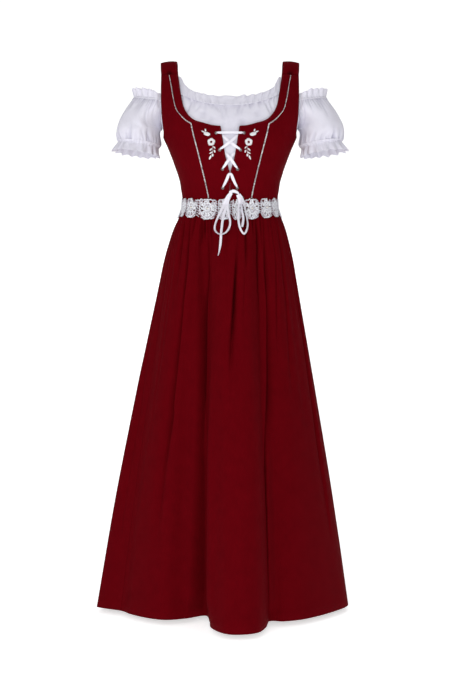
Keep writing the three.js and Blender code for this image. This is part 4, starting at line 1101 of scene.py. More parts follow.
# The bodice. Its edges are in the front view, but for the side seam, the armhole and the top of the back,
# which are given by degrees and height.
bodice = {
    "lacingEdge": [(0.2, -352), (0.2, -316), (0.3, -282), (9.7, -246), (16, -209), (21.5, -173)],
    "neckline": [
        (21.5, -173), (40, -171), (62, -164.5), (84, -156.5), (100, -140), (110, -118), (116, -84),
        (119, -62), (123, -41),
    ],
    "princessSeam": [(47, -352), (54, -314), (64, -272), (75, -228), (84, -194), (90, -166)],
    "strapSeam": [
        (90, -166), (103, -157), (115.5, -143.6), (125.5, -128), (132.5, -100), (138, -67), (143, -41),
    ],
    "sideSeam": [(90, -352), (90, -300), (90, -245), (90, -185)],
    "armhole": [
        (90, -185), (82, -183), (74, -175), (69, -158), (66, -138), (63.3, -115), (61.2, -90),
        (60.1, -62), (59.4, -41),
    ],
    "lacingShare": 0.5, "princessShare": 0.69, "sideShare": 0.5,
    "backTop": [
        (90, -185), (97, -181), (108, -165), (119, -146), (127, -133), (131, -131), (149, -131),
        (153, -133), (166, -144), (180, -148),
    ],
    "frontGrid": (52, 140), "sideGrid": (58, 116), "backGrid": (136, 60), "eyeletHole": 2.6,
    "edgeRoll": 0.35, "stitchIn": 3.2, "stitch": {"long": 2.4, "gap": 0.9, "thick": 0.24}, "stitchedFrom": 59,
    "seam": {"deep": 0.7, "wide": 1.1, "ridge": 0.25, "ridgeAt": 2.6, "ridgeWide": 1.4},
    "ripple": 0.8, "ripples": 66, "rippleTop": -292, "rippleSide": 38,
    "darts": {"at": (148, 212), "lean": 0.012, "top": -236, "deep": 0.7},
    "ring": [  # section of an eyelet: distance from its middle, height off the cloth
        (2.1, -1.6), (2.12, 0.3), (2.25, 0.95), (2.5, 1.4), (2.9, 1.6), (3.3, 1.45), (3.6, 1.0),
        (3.6, 0.6), (3.3, 0.5), (2.8, 0.45), (2.5, 0.1), (2.4, -1.6),
    ],
}


# Turns a path in the front view into degrees and heights.
def onBody(path):
    def place(v):
        point = path(v)
        return degAtX(point[..., 0], point[..., 1]), point[..., 1]
    return place


princessLine = twoPaths(bodice["princessSeam"], bodice["strapSeam"], bodice["princessShare"])
frontInner = onBody(twoPaths(bodice["lacingEdge"], bodice["neckline"], bodice["lacingShare"]))
frontOuter = onBody(princessLine)
sideLine = twoPaths(bodice["sideSeam"], bodice["armhole"], bodice["sideShare"])


def sideOuter(v):
    point = sideLine(v)
    return point[..., 0], point[..., 1]


# How the worn cloth lifts and sinks: slow waves, and fine gathers held in at the waist.
def bodiceRelief(deg, z, seed):
    low = smooth((bodice["rippleTop"] - z) / 45)
    beside = smooth((np.abs(turnBetween(deg, 0)) - bodice["rippleSide"]) / 20)
    ripple = np.cos(np.radians(deg + 0.9 * softNoise(seed, deg / 4)) * bodice["ripples"])
    ripple = ripple * (0.6 + 0.4 * softNoise(seed + 1, deg / 5, z / 30))
    slow = 0.5 * softNoise(seed + 2, deg / 16, z / 42) + 0.22 * softNoise(seed + 3, deg / 6, z / 17)
    return bodice["ripple"] * low * beside * ripple + slow


# A panel between its inner and outer edge, and how far each point is from either. relief lifts its face.
def panelGrid(inner, outer, size, relief):
    columns, rows = size
    v = np.linspace(0, 1, rows)[:, None]
    u = np.linspace(0, 1, columns)[None]
    deg0, z0 = inner(v)
    deg1, z1 = outer(v)
    gap = sizes["seamGap"]
    slim = gap / 2 / np.maximum(10, np.abs(deg1 - deg0) * 2.2)
    share = mix(slim, 1 - slim, u)
    deg, z = mix(deg0, deg1, share), mix(z0, z1, share) + mix(gap, -gap, v) / 2
    flat = torsoPoint(deg, z)
    widths = np.linalg.norm(np.diff(flat, axis=1), axis=-1)
    fromInner = np.concatenate([np.zeros((rows, 1)), np.cumsum(widths, 1)], 1)
    fromOuter = fromInner[:, -1:] - fromInner
    return torsoPoint(deg, z, relief(deg, z, fromInner, fromOuter)), fromInner, fromOuter


# The middle of an eyelet and its way out of the cloth.
def eyeletPlace(place, side):
    deg = side * degAtX(np.array(float(place[0])), np.array(float(place[1])))
    centre = torsoPoint(deg, place[1])
    right = torsoPoint(deg + 1, place[1]) - torsoPoint(deg - 1, place[1])
    up = torsoPoint(deg, place[1] + 2) - torsoPoint(deg, place[1] - 2)
    return centre, unit(np.cross(right, up))


# The turned edge stands up as far as its topstitching, which draws the cloth in.
def edgeRoll(away):
    line = away - bodice["stitchIn"]
    return bodice["edgeRoll"] * smooth(1 - line / 1.5) - 0.3 * np.exp(-((line - 0.4) / 0.7) ** 2)


def seamLine(away):
    seam = bodice["seam"]
    return (seam["ridge"] * np.exp(-((away - seam["ridgeAt"]) / seam["ridgeWide"]) ** 2)
            - seam["deep"] * np.exp(-(away / seam["wide"]) ** 2))


def frontRelief(seed):
    def relief(deg, z, fromInner, fromOuter):
        return bodiceRelief(deg, z, seed) * smooth(fromOuter / 6) + edgeRoll(fromInner) + seamLine(fromOuter)
    return relief


# Below the armpit the outer edge is a seam too.
def sideRelief(seed):
    def relief(deg, z, fromInner, fromOuter):
        edge = np.where(z > sizes["armpitZ"] - 2, edgeRoll(fromOuter), -0.5 * np.exp(-(fromOuter / 1.2) ** 2))
        slow = bodiceRelief(deg, z, seed) * smooth(fromInner / 6) * smooth(fromOuter / 5)
        return slow + edge + seamLine(fromInner)
    return relief


# Topstitching through the given places of a grid.
def stitchesAt(name, grid, rows, columns):
    return stitchRow(name, grid[rows, columns], normalsOf(grid)[rows, columns], **bodice["stitch"])


# The same along an edge: in each row, at the place that is as far from the edge as the stitches are.
def edgeStitches(name, grid, away, side, rows):
    near = np.argmin(np.abs(away - bodice["stitchIn"]), axis=1)
    near = near if side > 0 else grid.shape[1] - 1 - near
    return stitchesAt(name, grid, rows, near[rows])


# Draws a panel's points onto the rims of the eyelet holes, and says which of its cells are left.
def cutEyelets(grid, hole):
    kept = np.ones((grid.shape[0] - 1, grid.shape[1] - 1), bool)
    for place in lacing["eyelets"]:
        centre, out = eyeletPlace(place, 1)
        away = grid - centre
        away -= (away @ out)[..., None] * out
        far = np.linalg.norm(away, axis=-1)
        pinch = 0.5 * np.exp(-((far - 4) / 3.5) ** 2)
        near = (far < hole + 0.8) & (far > hole - 0.9)
        pushed = away * (hole / np.maximum(far, 0.1) - 1)[..., None]
        grid = grid + np.where(near[..., None], pushed, 0) - pinch[..., None] * out
        kept &= cellMiddles(far) > hole
    return grid, kept


def addFrontPanel(name, side, seed):
    grid, fromInner, _ = panelGrid(frontInner, frontOuter, bodice["frontGrid"], frontRelief(seed))
    grid, kept = cutEyelets(grid, bodice["eyeletHole"])
    if side < 0:
        grid, kept = mirrorX(grid), kept[:, ::-1]
    piece = addDressPiece(name, grid, keeps=kept)
    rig.sheet(piece, flat=(0.075, 0.36), held="stretched", rests_on=["blouse_front"], area=0.015)
    return edgeStitches(name, grid, fromInner, side, np.arange(2, grid.shape[0] - 1))


def addSidePanel(name, side, seed):
    grid, _, fromOuter = panelGrid(frontOuter, sideOuter, bodice["sideGrid"], sideRelief(seed))
    if side < 0:
        grid = mirrorX(grid)
    piece = addDressPiece(name, grid)
    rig.sheet(piece, flat=(0.148, 0.345), held="stretched", rests_on=["blouse_front"], area=0.03)
    return edgeStitches(name, grid, fromOuter, side, np.arange(bodice["stitchedFrom"], grid.shape[0] - 1))


def addBodiceBack():
    columns, rows = bodice["backGrid"]
    deg = np.linspace(90.1, 269.9, columns)[None]
    top = tableAt(bodice["backTop"], np.minimum(deg, 360 - deg))[..., 0]
    z = mix(float(sizes["waistZ"]), top, np.linspace(0, 1, rows)[:, None])
    fromTop = (top - z) + 0 * deg
    relief = bodiceRelief(deg, z, 51) * smooth(fromTop / 5) + edgeRoll(fromTop)
    darts = bodice["darts"]
    for place in darts["at"]:
        across = (deg - place - (z - sizes["waistZ"]) * darts["lean"]) * 1.9
        relief = relief - darts["deep"] * np.exp(-across ** 2) * smooth((darts["top"] - z) / 20)
    grid = torsoPoint(deg, z, relief)
    piece = addDressPiece("bodice_back", grid)
    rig.sheet(piece, flat=(0.38, 0.225), held="stretched", rests_on=["blouse_back"], area=0.08)
    near = np.argmin(np.abs(fromTop - bodice["stitchIn"]), axis=0)
    return stitchesAt("bodice_back", grid, near[2:-2], np.arange(2, columns - 2))


# A ring turned about its own middle: profile is (distance from the middle, height off the cloth).
def turnedRing(name, profile, centre, out, steps=32):
    profile = np.array(profile, float)
    side = unit(np.cross(out, (0, 0, 1)))
    up = np.cross(out, side)
    a = 2 * math.pi * np.arange(steps) / steps
    way = np.cos(a)[:, None] * side + np.sin(a)[:, None] * up
    verts = centre + profile[:, 0][None, :, None] * way[:, None] + profile[:, 1][None, :, None] * out
    count = len(profile)
    i, k = np.meshgrid(np.arange(steps), np.arange(count), indexing="ij")
    nextI, nextK = (i + 1) % steps, (k + 1) % count
    faces = np.stack([i * count + k, i * count + nextK, nextI * count + nextK, nextI * count + k], -1)
    uv = np.stack([a[:, None] * profile[:, 0], np.broadcast_to(profile[:, 1], (steps, count))], -1)
    return makeMesh(name, verts.reshape(-1, 3), [faces.reshape(-1, 4)], uv.reshape(-1, 2))


def addEyelets():
    for name, side in bothSides:
        for n, place in enumerate(lacing["eyelets"]):
            node = f"eyelet_{name}_{n + 1}"
            mesh = turnedRing(node, bodice["ring"], *eyeletPlace(place, side))
            addPiece(node + "_ring", mesh, eyeletLook, "eyelet_metal", [node])


def addBodice():
    rows = []
    for (name, side), seed in zip(bothSides, (31, 41)):
        rows.append(addFrontPanel(f"bodice_front_{name}", side, seed))
        rows.append(addSidePanel(f"bodice_side_{name}", side, seed + 4))
    rows.append(addBodiceBack())
    addPiece("bodice_topstitching", joinMeshes("bodice_topstitching", rows), redThreadLook, "dress_cloth")
    addEyelets()


addBodice()
print("bodice done")

# The straps behind the shoulder seam.
strap = {
    "overShoulder": [  # edge near the neck x, y, z, then edge near the arm
        (125, -49, -23, 164, -38, -25), (126, -34, -8, 165, -26, -10), (126, -12, -1.5, 165, -10, -4),
        (126, 12, -2, 164, 10, -5), (126, 36, -13, 163, 30, -17), (124, 60, -38, 161, 49, -42),
        (119, 77, -68, 158, 61, -70),
    ],
    "seam": (123, 163), "back": (151, 129), "backHeights": (-92, -112), "settles": 0.74,
    "wide": 40, "crown": 5.5, "grid": (28, 130), "gathers": 1.6, "gatherTurns": 1.15, "gatherReach": 0.1,
    "hollow": {"deep": 3.4, "at": 19, "lean": 30, "wide": 6, "up": 0.012, "long": 0.05},
}


def strapGrid():
    start = sizes["strapSeamZ"] + sizes["seamGap"]
    ends = [float(tableAt(bodice["backTop"], deg)[..., 0]) + sizes["seamGap"] * 4 for deg in strap["back"]]

    def pair(degs, heights):
        return np.concatenate([torsoPoint(deg, z) for deg, z in zip(degs, heights)])

    rows = [pair([degAtX(x, start) for x in strap["seam"]], (start, start)), *strap["overShoulder"]]
    rows += [pair(strap["back"], (z, z)) for z in strap["backHeights"]] + [pair(strap["back"], ends)]
    columns, lines = strap["grid"]
    v = np.linspace(0, 1, lines)[:, None]
    u = np.linspace(0, 1, columns)[None]
    p = pathAt(rows, v)
    x, y, z = (mix(p[..., n], p[..., n + 3], u) for n in range(3))
    # down the back it settles onto the body
    body = torsoPoint(180 - degAtX(x, z), z)
    settled = smooth((v - strap["settles"]) / 0.1)
    crown = strap["crown"] * (np.sin(math.pi * u) ** 0.6 - 0.65) * np.sin(math.pi * v) ** 2
    x, y = mix(x, body[..., 0], settled), mix(y, body[..., 1], settled)
    grid = np.stack([x, y, np.where(v > strap["settles"], z, z + crown)], -1)
    # little gathers held in by the seam on the chest, an edge turned under, and slow waves
    across = u * strap["wide"]
    held = np.exp(-v / strap["gatherReach"]) * smooth(v / 0.006)
    gathers = np.cos(across * strap["gatherTurns"] + 2.2 * softNoise(61, across / 9, v * 8))
    gathers = gathers * (0.7 + 0.3 * softNoise(62, across / 6, v * 9))
    lift = strap["gathers"] * held * gathers - 0.9 * np.exp(-v / 0.012)
    lift = lift + 0.3 * softNoise(63, v * 14, u * 2) + edgeRoll(np.minimum(u, 1 - u) * strap["wide"]) * 0.8
    # the cloth is drawn into a deeper hollow beside the middle, just above the seam
    spec = strap["hollow"]
    drawn = spec["deep"] * np.exp(-((across - spec["at"] - v * spec["lean"]) / spec["wide"]) ** 2)
    drawn = drawn * np.exp(-((v - spec["up"]) / spec["long"]) ** 2)
    deep = np.clip(-lift, 0, 3) * held + drawn * 2.2
    return grid + normalsOf(grid) * (lift - drawn)[..., None], deep


def addStraps():
    rows = []
    for name, side in bothSides:
        grid, deep = strapGrid()
        if side < 0:
            grid = mirrorX(grid)
        piece = addDressPiece(f"strap_{name}", grid, rise=deep)
        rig.sheet(piece, flat=(0.042, 0.25), held="laid", rests_on=["bodice_back", f"bodice_side_{name}"])
        for column in (2, grid.shape[1] - 3):
            rows.append(stitchesAt("strap", grid, np.arange(3, grid.shape[0] - 2), column))
    addPiece("strap_topstitching", joinMeshes("strap_topstitching", rows), redThreadLook, "dress_cloth")


addStraps()
print("straps done")

# The silver braid: two strands twisted round each other, thinner where it runs up the strap.
braid = {
    "strand": 0.66, "turn": 0.95, "pitch": 12.5, "out": 1.25, "start": 0.06, "end": 0.995, "steps": 640,
    "thin": 0.6, "thinFrom": -170, "flat": 0.6,
}


def addBraid(name, side):
    v = np.linspace(braid["start"], braid["end"], braid["steps"])
    line = princessLine(v)
    x, z = side * line[:, 0], line[:, 1]
    deg = degAtX(x, z)
    centre = torsoPoint(deg, z, braid["out"])
    out = unit(torsoPoint(deg, z, braid["out"] + 1) - centre)
    along = unit(np.gradient(centre, axis=0))
    across = np.cross(along, out)
    thin = mix(1.0, braid["thin"], smooth((z - braid["thinFrom"]) / 30))
    strands = []
    for phase in (0, math.pi):
        turn = 2 * math.pi * lengthAlong(centre) / braid["pitch"] + phase
        strands.append(centre + (np.cos(turn) * braid["turn"] * thin)[:, None] * across
                       + (np.sin(turn) * braid["turn"] * braid["flat"] * thin)[:, None] * out)
    mesh = threadMesh(name, np.stack(strands), braid["strand"] * thin, out, sides=7, flat=0.85)
    addPiece(name + "_cord", mesh, braidLook, "silver_braid", [name])


for name, side in bothSides:
    addBraid("braid_" + name, side)
print("braid done")

# The blouse. Its neck casing is given by degrees and height.
blouse = {
    "casing": [
        (0, -119), (11, -113), (23, -101), (33, -90), (45, -95), (59, -105), (121, -105), (147, -92),
        (180, -96),
    ],
    "raglan": 59, "armpitShare": 0.62, "cuffDrop": 16, "seamReach": 70, "panelWide": 272, "sleeveLong": 110,
    "sleeve": [  # share, outermost x, innermost x, depth, height outside
        (0, 231, 122, 46, -88), (0.12, 241, 128, 52, -98), (0.3, 255, 140, 58, -118),
        (0.5, 268, 154, 61, -142), (0.62, 273, 163, 62, -156), (0.8, 276, 165, 62, -174),
        (0.93, 274, 163, 56, -186), (1, 269, 170, 49, -192),
    ],
    "frontGrid": (188, 76), "backGrid": (120, 48), "sleeveGrid": (220, 48),
    "band": 4.5, "bodyGathers": 46, "sleeveGathers": 44, "cuffGathers": 46,
    "bodyGroove": {"long": (8, 19), "deep": (1.6, 4.0), "wide": (1.3, 2.4), "drift": 4},
    "topGroove": {"long": (18, 56), "deep": (2.0, 5.4), "wide": (1.8, 3.2), "drift": 7},
    "cuffGroove": {"long": (12, 36), "deep": (1.8, 5.0), "wide": (1.8, 3.2), "drift": 8},
    "folds": [  # x and z of the two ends, depth and width
        (-34, -122, -24, -139, 1.8, 2.4), (-24, -122, -13, -162, 2.0, 3), (-11, -124, -7.6, -150, 1.6, 2.4),
        (24, -122, 14, -148, 1.8, 2.6), (33, -122, 26, -147, 1.4, 2.4), (84, -116, 97, -144, 2.6, 3),
        (-70, -122, -82, -138, 1.6, 3), (-89, -110, -104, -142, 2.8, 3), (93, -110, 102, -141, 2.2, 3),
        (-62, -137, -66, -156, 2.0, 9), (30, -155, 26, -182, 2.2, 9), (-40, -150, -52, -168, 1.6, 7),
        (62, -135, 70, -150, 1.6, 8), (-12, -165, -20, -176, 1.4, 4),
    ],
}


def casingZ(deg):
    deg = np.abs(deg)
    return tableAt(blouse["casing"], np.where(deg > 180, 360 - deg, deg))[..., 0]


raglanTop = float(casingZ(blouse["raglan"]))


# Where the raglan seam lies, in degrees from the middle.
def edgeDeg(z):
    low = sizes["blouseArmpitZ"]
    return mix(90, blouse["raglan"], smooth((z - low) / (raglanTop - low)))


# Narrow gathers held at a line: each starts there, drifts to one side and dies out. Places are in mm.
def grooves(seed, count, span, across, down, spec):
    random = np.random.RandomState(seed)
    total = np.zeros(np.broadcast(across, down).shape)
    for n in range(count):
        middle = span * (n + random.uniform(0.1, 0.9)) / count
        long = random.uniform(*spec["long"]) * (2 if random.uniform() < 0.2 else 1)
        deep, wide = random.uniform(*spec["deep"]), random.uniform(*spec["wide"])
        slide = random.uniform(-spec["drift"], spec["drift"])
        share = np.clip(down / long, 0, 1)
        off = (across - middle - slide * share) / (wide * (1 + 0.8 * share))
        total += deep * (1 - share) ** 1.3 * np.exp(-np.abs(off) ** 1.6)
    return total


# Single soft folds drawn as lines over the front: x and z of their two ends, depth and width.
def drawnFolds(folds, x, z):
    total = np.zeros(x.shape)
    for x0, z0, x1, z1, deep, wide in folds:
        long = math.hypot(x1 - x0, z1 - z0)
        ux, uz = (x1 - x0) / long, (z1 - z0) / long
        along = ((x - x0) * ux + (z - z0) * uz) / long
        off = (x - x0) * uz - (z - z0) * ux
        fade = smooth((along + 0.15) / 0.3) * smooth((1.15 - along) / 0.5)
        total += deep * np.exp(-(off / wide) ** 2) * fade
    return total


# One half of the body, and how deep its gathers are.
def blouseGrid(back, size, seed):
    middle = 180 if back else 0
    turn = np.linspace(-1, 1, size[0])[None]
    v = np.linspace(0, 1, size[1])[:, None]
    top = casingZ(np.abs(middle - np.abs(turn) * blouse["raglan"]))
    z = mix(float(sizes["blouseHemZ"]), top, v)
    deg = middle + turn * (edgeDeg(z) - 0.12)
    below = top - z
    wide = blouse["panelWide"]
    across, under = (turn + 1) / 2 * wide, below - blouse["band"]
    deep = grooves(seed, blouse["bodyGathers"], wide, across, under, blouse["bodyGroove"])
    inwards = deep + 0.9 * softNoise(seed + 4, turn * 4, below / 34) * smooth(below / 20)
    if not back:  # the seam down the middle, and the folds that show
        seam = turn * 130
        line = 1.0 * np.exp(-(seam / 1.3) ** 2) - 0.5 * np.exp(-((np.abs(seam) - 4) / 2) ** 2)
        flat = torsoPoint(deg, z, -sizes["underDress"])
        drawn = drawnFolds(blouse["folds"], flat[..., 0], flat[..., 2])
        inwards, deep = inwards + line * smooth(below / 8) + drawn, deep + drawn * 0.7
    return torsoPoint(deg, z, -sizes["underDress"] - inwards), deep


def addBlousePiece(name, grid, deep, flip=False):
    mesh = wallMesh(name, grid, sizes["blouseCloth"], flip=flip, rise=deep)
    return addPiece(name + "_cloth", mesh, blouseLook, "blouse_cloth", [name])


def addBlouseBody():
    for half, seed in (("front", 71), ("back", 81)):
        piece = addBlousePiece("blouse_" + half, *blouseGrid(half == "back", blouse[half + "Grid"], seed))
        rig.sheet(piece, flat=(0.42, 0.235), held="gathered", rests_on=["neck_frill_" + half])


# A point of the sleeve: u goes round it from the front seam to the back seam, w from the casing to the cuff.
def sleevePoint(u, w, gather=0.0, out=0.0):
    u, w, gather, out = np.broadcast_arrays(np.asarray(u, float), w, gather, out)
    row = tableAt(blouse["sleeve"], w)
    outX, inX, deep, outZ = (row[..., n] for n in range(4))
    share = blouse["armpitShare"]
    opened = np.clip(1 - w / share, 0, 1)
    seamAngle = 0.25 + 62 * np.sqrt(opened) * (1 - 0.25 * opened)
    angle = mix(seamAngle, 360 - seamAngle, u)
    centre, half = (outX + inX) / 2, (outX - inX) / 2 + out - gather
    deep = deep + out - gather
    back = u > 0.5
    seamZ = mix(raglanTop, float(sizes["blouseArmpitZ"]), np.minimum(w / share, 1))
    seamDeg = edgeDeg(seamZ) + 0.4
    seam = torsoPoint(np.where(back, 180 - seamDeg, seamDeg), seamZ, -sizes["underDress"] + out)
    away = np.where(back, 360 - angle, angle)
    pull = np.where(opened > 0, 1 - smooth((away - seamAngle) / blouse["seamReach"]), 0)
    turn, seamTurn = np.radians(angle), np.radians(np.where(back, 360 - seamAngle, seamAngle))
    x, y = centre - half * np.cos(turn), -deep * np.sin(turn)
    seamX, seamY = centre - half * np.cos(seamTurn), -deep * np.sin(seamTurn)
    px, py = x + (seam[..., 0] - seamX) * pull, y + (seam[..., 1] - seamY) * pull
    under = torsoPoint(degAtX(np.minimum(px, 160), seamZ), seamZ, -sizes["underDress"])[..., 1] + 3
    tucked = np.maximum(py, under - np.maximum(0, px - 165) * 0.9 - out)
    py = np.where((w < share) & ~back, tucked, py)
    turned = (1 - np.cos(turn)) / 2
    below = smooth((w - share) / (1 - share))
    innerZ = np.where(w < share, seamZ, mix(float(sizes["blouseArmpitZ"]), outZ - blouse["cuffDrop"], below))
    return np.stack([px, py, mix(innerZ, outZ, turned)], -1)


def sleeveGather(u, w, seed):
    long = blouse["sleeveLong"]
    lines = grooves(seed, blouse["sleeveGathers"], 360, u * 360, w * long - 3, blouse["topGroove"])
    fromCuff = (1 - w) * long - 4
    lines = lines + grooves(seed + 1, blouse["cuffGathers"], 360, u * 360, fromCuff, blouse["cuffGroove"])
    # a few long soft folds, and hollows in the puff
    folds = 2.2 * softNoise(seed + 5, u * 13, w * 1.6) + 1.1 * softNoise(seed + 6, u * 24, w * 5)
    return lines + (folds + 1.2) * smooth(w / 0.12) * smooth((1 - w) / 0.12), lines


# The cloth runs softly over the place where the armhole seam ends.
def eased(grid, w):
    soft = grid.copy()
    for _ in range(14):
        soft[1:-1] = (soft[:-2] + 2 * soft[1:-1] + soft[2:]) / 4
    near = np.exp(-((w - blouse["armpitShare"]) / 0.09) ** 2)
    return mix(grid, soft, near[..., None])


def addSleeve(name, side, seed):
    columns, rows = blouse["sleeveGrid"]
    u = np.linspace(0, 1, columns)[None]
    w = np.linspace(0, 1, rows)[:, None]
    plain = sleevePoint(u, w)
    gather, deep = sleeveGather(u, w, seed)
    grid = (eased(plain, w) + sleevePoint(u, w, gather) - plain) * np.array([side, 1, 1])
    piece = addBlousePiece("sleeve_" + name, grid, deep, flip=side > 0)
    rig.sheet(piece, flat=(0.36, 0.13), held="gathered", rests_on=["blouse_front", "blouse_back"])


addBlouseBody()
for (name, side), seed in zip(bothSides, (91, 101)):
    addSleeve(name, side, seed)
print("blouse body and sleeves done")

# The frills above the neck casing and below the cuffs.
frills = {
    "high": [  # degrees, height
        (0, 20), (22, 20), (28, 27), (33, 45), (40, 38), (50, 18), (59, 12), (121, 12), (150, 21), (180, 22),
    ],
    "waves": {"front": 21, "back": 18, "sleeve": 13, "cuff": 16},
    "columns": {"front": 400, "back": 300, "sleeve": 208}, "rows": 14, "bandRows": 4, "pleatPitch": 6.5,
    "neckWave": 4.2, "lean": 0.1, "cuffLength": 21, "flare": (4, 12), "cuffWave": 4.5, "sleeveHigh": (12, 20),
    "armAxis": (0.16, 0, -1), "hem": 0.12, "bandHigh": 0.9,
    "pleat": {"long": (8, 18), "deep": (0.7, 1.9), "wide": (1.2, 2.0), "drift": 2.5}, "edge": (1.5, 1.1),
}


def awayFromMiddle(deg):
    point = torsoPoint(deg, -100.0)
    point[..., 2] = 0
    return unit(point)


# The way from the neck casing to the top of its frill, leaning in a little.
def neckUp(deg, foot, high):
    rise = unit(torsoPoint(deg, foot + high) - torsoPoint(deg, foot))
    high = np.asarray(high)
    return rise * high[..., None] - awayFromMiddle(deg) * (high * frills["lean"])[..., None]


# A frill from its foot line, its way up and its way out, all along u. It sways more towards its edge.
# Its first rows are the band that holds the elastic, laid over the cloth it is gathered to.
def frillGrid(band, foot, up, outwards, swing, waves, seed):
    u = np.linspace(0, 1, foot.shape[0])
    v = np.linspace(0, 1, frills["rows"])[:, None]
    at = u * waves
    warp = at + 0.22 * softNoise(seed, at * 0.45) + 0.12 * softNoise(seed + 1, at * 0.8, v * 2)
    wave = np.sin(2 * math.pi * warp) * (0.75 + 0.35 * softNoise(seed + 2, at * 0.6))
    span = lineLength(foot)
    tall = np.linalg.norm(up, axis=-1)
    pleats = grooves(seed + 3, int(span / frills["pleatPitch"]), span, u * span, v * tall, frills["pleat"])
    hem = frills["hem"] * np.exp(-((v - 0.9) / 0.03) ** 2)
    ragged = frills["edge"][0] * wave + frills["edge"][1] * softNoise(seed + 4, at * 2.3)
    height = 1 + v * ragged / tall
    grid = foot[None] + up[None] * (v * height)[..., None]
    grid = grid + outwards[None] * (swing[None] * mix(0.05, 1, v) * wave + hem - pleats)[..., None]
    share = np.linspace(0, 1, frills["bandRows"] + 1)[:-1, None]
    crown = frills["bandHigh"] * np.sin(math.pi * (0.15 + 0.7 * share)) - 0.25 * pleats[:1]
    under = mix(band[None], grid[:1], share[..., None]) + outwards[None] * crown[..., None]
    deep = pleats + np.clip(-wave, 0, 1) * 1.2 * v
    return np.concatenate([under, grid]), np.concatenate([np.repeat(deep[:1], frills["bandRows"], 0), deep])


def addNeckFrills():
    for half, middle, seed, sheet in (
        ("front", 0, 111, {"flat": (0.46, 0.047), "area": 0.0095}),
        ("back", 180, 121, {"flat": (0.38, 0.024), "area": None}),
    ):
        u = np.linspace(0, 1, frills["columns"][half])
        deg = middle + (u * 2 - 1) * (blouse["raglan"] - 0.3)
        foot = casingZ(deg)
        turned = np.where(np.abs(deg) > 180, 360 - np.abs(deg), np.abs(deg))
        high = tableAt(frills["high"], turned)[..., 0]
        base = torsoPoint(deg, foot + sizes["seamGap"] * 3, -sizes["underDress"] + 1.0)
        band = torsoPoint(deg, foot - blouse["band"], -sizes["underDress"] + 1.0)
        ends = smooth((np.minimum(u, 1 - u) - 0.02) / 0.04)
        # it lies flatter where the strap is over it
        swing = frills["neckWave"] * ends * np.where(np.abs(torsoPoint(deg, -90.0)[..., 0]) > 108, 0.3, 1)
        up, out = neckUp(deg, foot, high), awayFromMiddle(deg)
        grid, deep = frillGrid(band, base, up, out, swing, frills["waves"][half], seed)
        piece = addBlousePiece("neck_frill_" + half, grid, deep)
        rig.sheet(piece, held="gathered", rests_on=["blouse_" + half], **sheet)


def outOfSleeve(u, w):
    return unit(sleevePoint(u, w, 0, 4) - sleevePoint(u, w))


def addSleeveFrills(name, side, seed):
    mirror = np.array([side, 1, 1])
    u = np.linspace(0, 1, frills["columns"]["sleeve"])
    base = sleevePoint(mix(0.996, 0.004, u), 0, 1) + np.array([0, 0, sizes["seamGap"] * 3])
    band = sleevePoint(mix(0.996, 0.004, u), 0.045, 1.1)
    fromSeam = np.minimum(u, 1 - u)
    high = mix(*frills["sleeveHigh"], smooth(fromSeam / 0.25))
    out = outOfSleeve(1 - u, 0)
    own = np.stack([0 * u, 0 * u, high], -1) + out * (high * frills["lean"])[:, None]
    # at the raglan seam it stands like the neck frill that it meets
    seamDeg = np.where(u < 0.5, 180 - blouse["raglan"], blouse["raglan"])
    atSeam = neckUp(seamDeg, np.full(u.shape, raglanTop), high)
    up = mix(atSeam, own, smooth((fromSeam - 0.02) / 0.2)[:, None])
    swing = frills["neckWave"] * smooth((fromSeam - 0.03) / 0.15)
    grid, deep = frillGrid(band, base, up, out, swing, frills["waves"]["sleeve"], seed)
    piece = addBlousePiece("neck_frill_" + name, grid * mirror, deep, side < 0)
    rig.sheet(piece, flat=(0.28, 0.021), held="gathered", rests_on=["sleeve_" + name])
    armAxis = unit(np.array(frills["armAxis"], float))
    base = sleevePoint(u, 1, 1) + armAxis * sizes["seamGap"] * 2
    band = sleevePoint(u, 0.95, 1.1)
    out = outOfSleeve(u, 1)
    flare = mix(*frills["flare"], (1 - np.cos(2 * math.pi * u)) / 2)
    up = armAxis * frills["cuffLength"] + out * flare[:, None]
    swing = np.full(u.shape, frills["cuffWave"])
    grid, deep = frillGrid(band, base, up, out, swing, frills["waves"]["cuff"], seed + 5)
    piece = addBlousePiece("cuff_frill_" + name, grid * mirror, deep, side > 0)
    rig.sheet(piece, flat=(0.44, 0.024), held="gathered", rests_on=["sleeve_" + name])


addNeckFrills()
for (name, side), seed in zip(bothSides, (131, 151)):
    addSleeveFrills(name, side, seed)
print("frills done")

# The waist lace: medallions in a row, each drawn in its own cell, x from its left side and h from its foot.
lace = {
    "topZ": -331, "footZ": -366, "scallop": 8, "frontDip": 9, "frontDrop": 7, "standOff": 0.6, "peak": 3,
    "around": 20, "wide": 34.0, "tall": 46.0, "cells": (37, 44), "base": 0.75, "reliefHigh": 1.5,
    "ladder": {
        "at": 3.1, "first": 5.2, "step": 6.9, "holes": 6, "hole": 2.5, "cords": (0.4, 6.0), "half": 2.6,
    },
    "middle": (20.0, 25.0), "reach": (13.4, 21.5), "round": 15.5, "petals": (9, 11), "heart": 0.22,
    "eyes": ((8.8, 4.6), (31.4, 4.9), (9.2, 40.2), (31.0, 40.6), (7.7, 22), (32.6, 24.5)), "eye": 1.5,
    # where one medallion ends and the next starts, in degrees: large ones by turns with small ones
    "frontEnds": [-90, -77, -62, -40, -14, 0, 11, 33, 54.5, 73, 90],
    "backEnds": [90, 107, 129, 142, 165, 180, 192, 214, 232, 256, 270],
    "pearl": 1.9, "pearlFrom": 21,
}


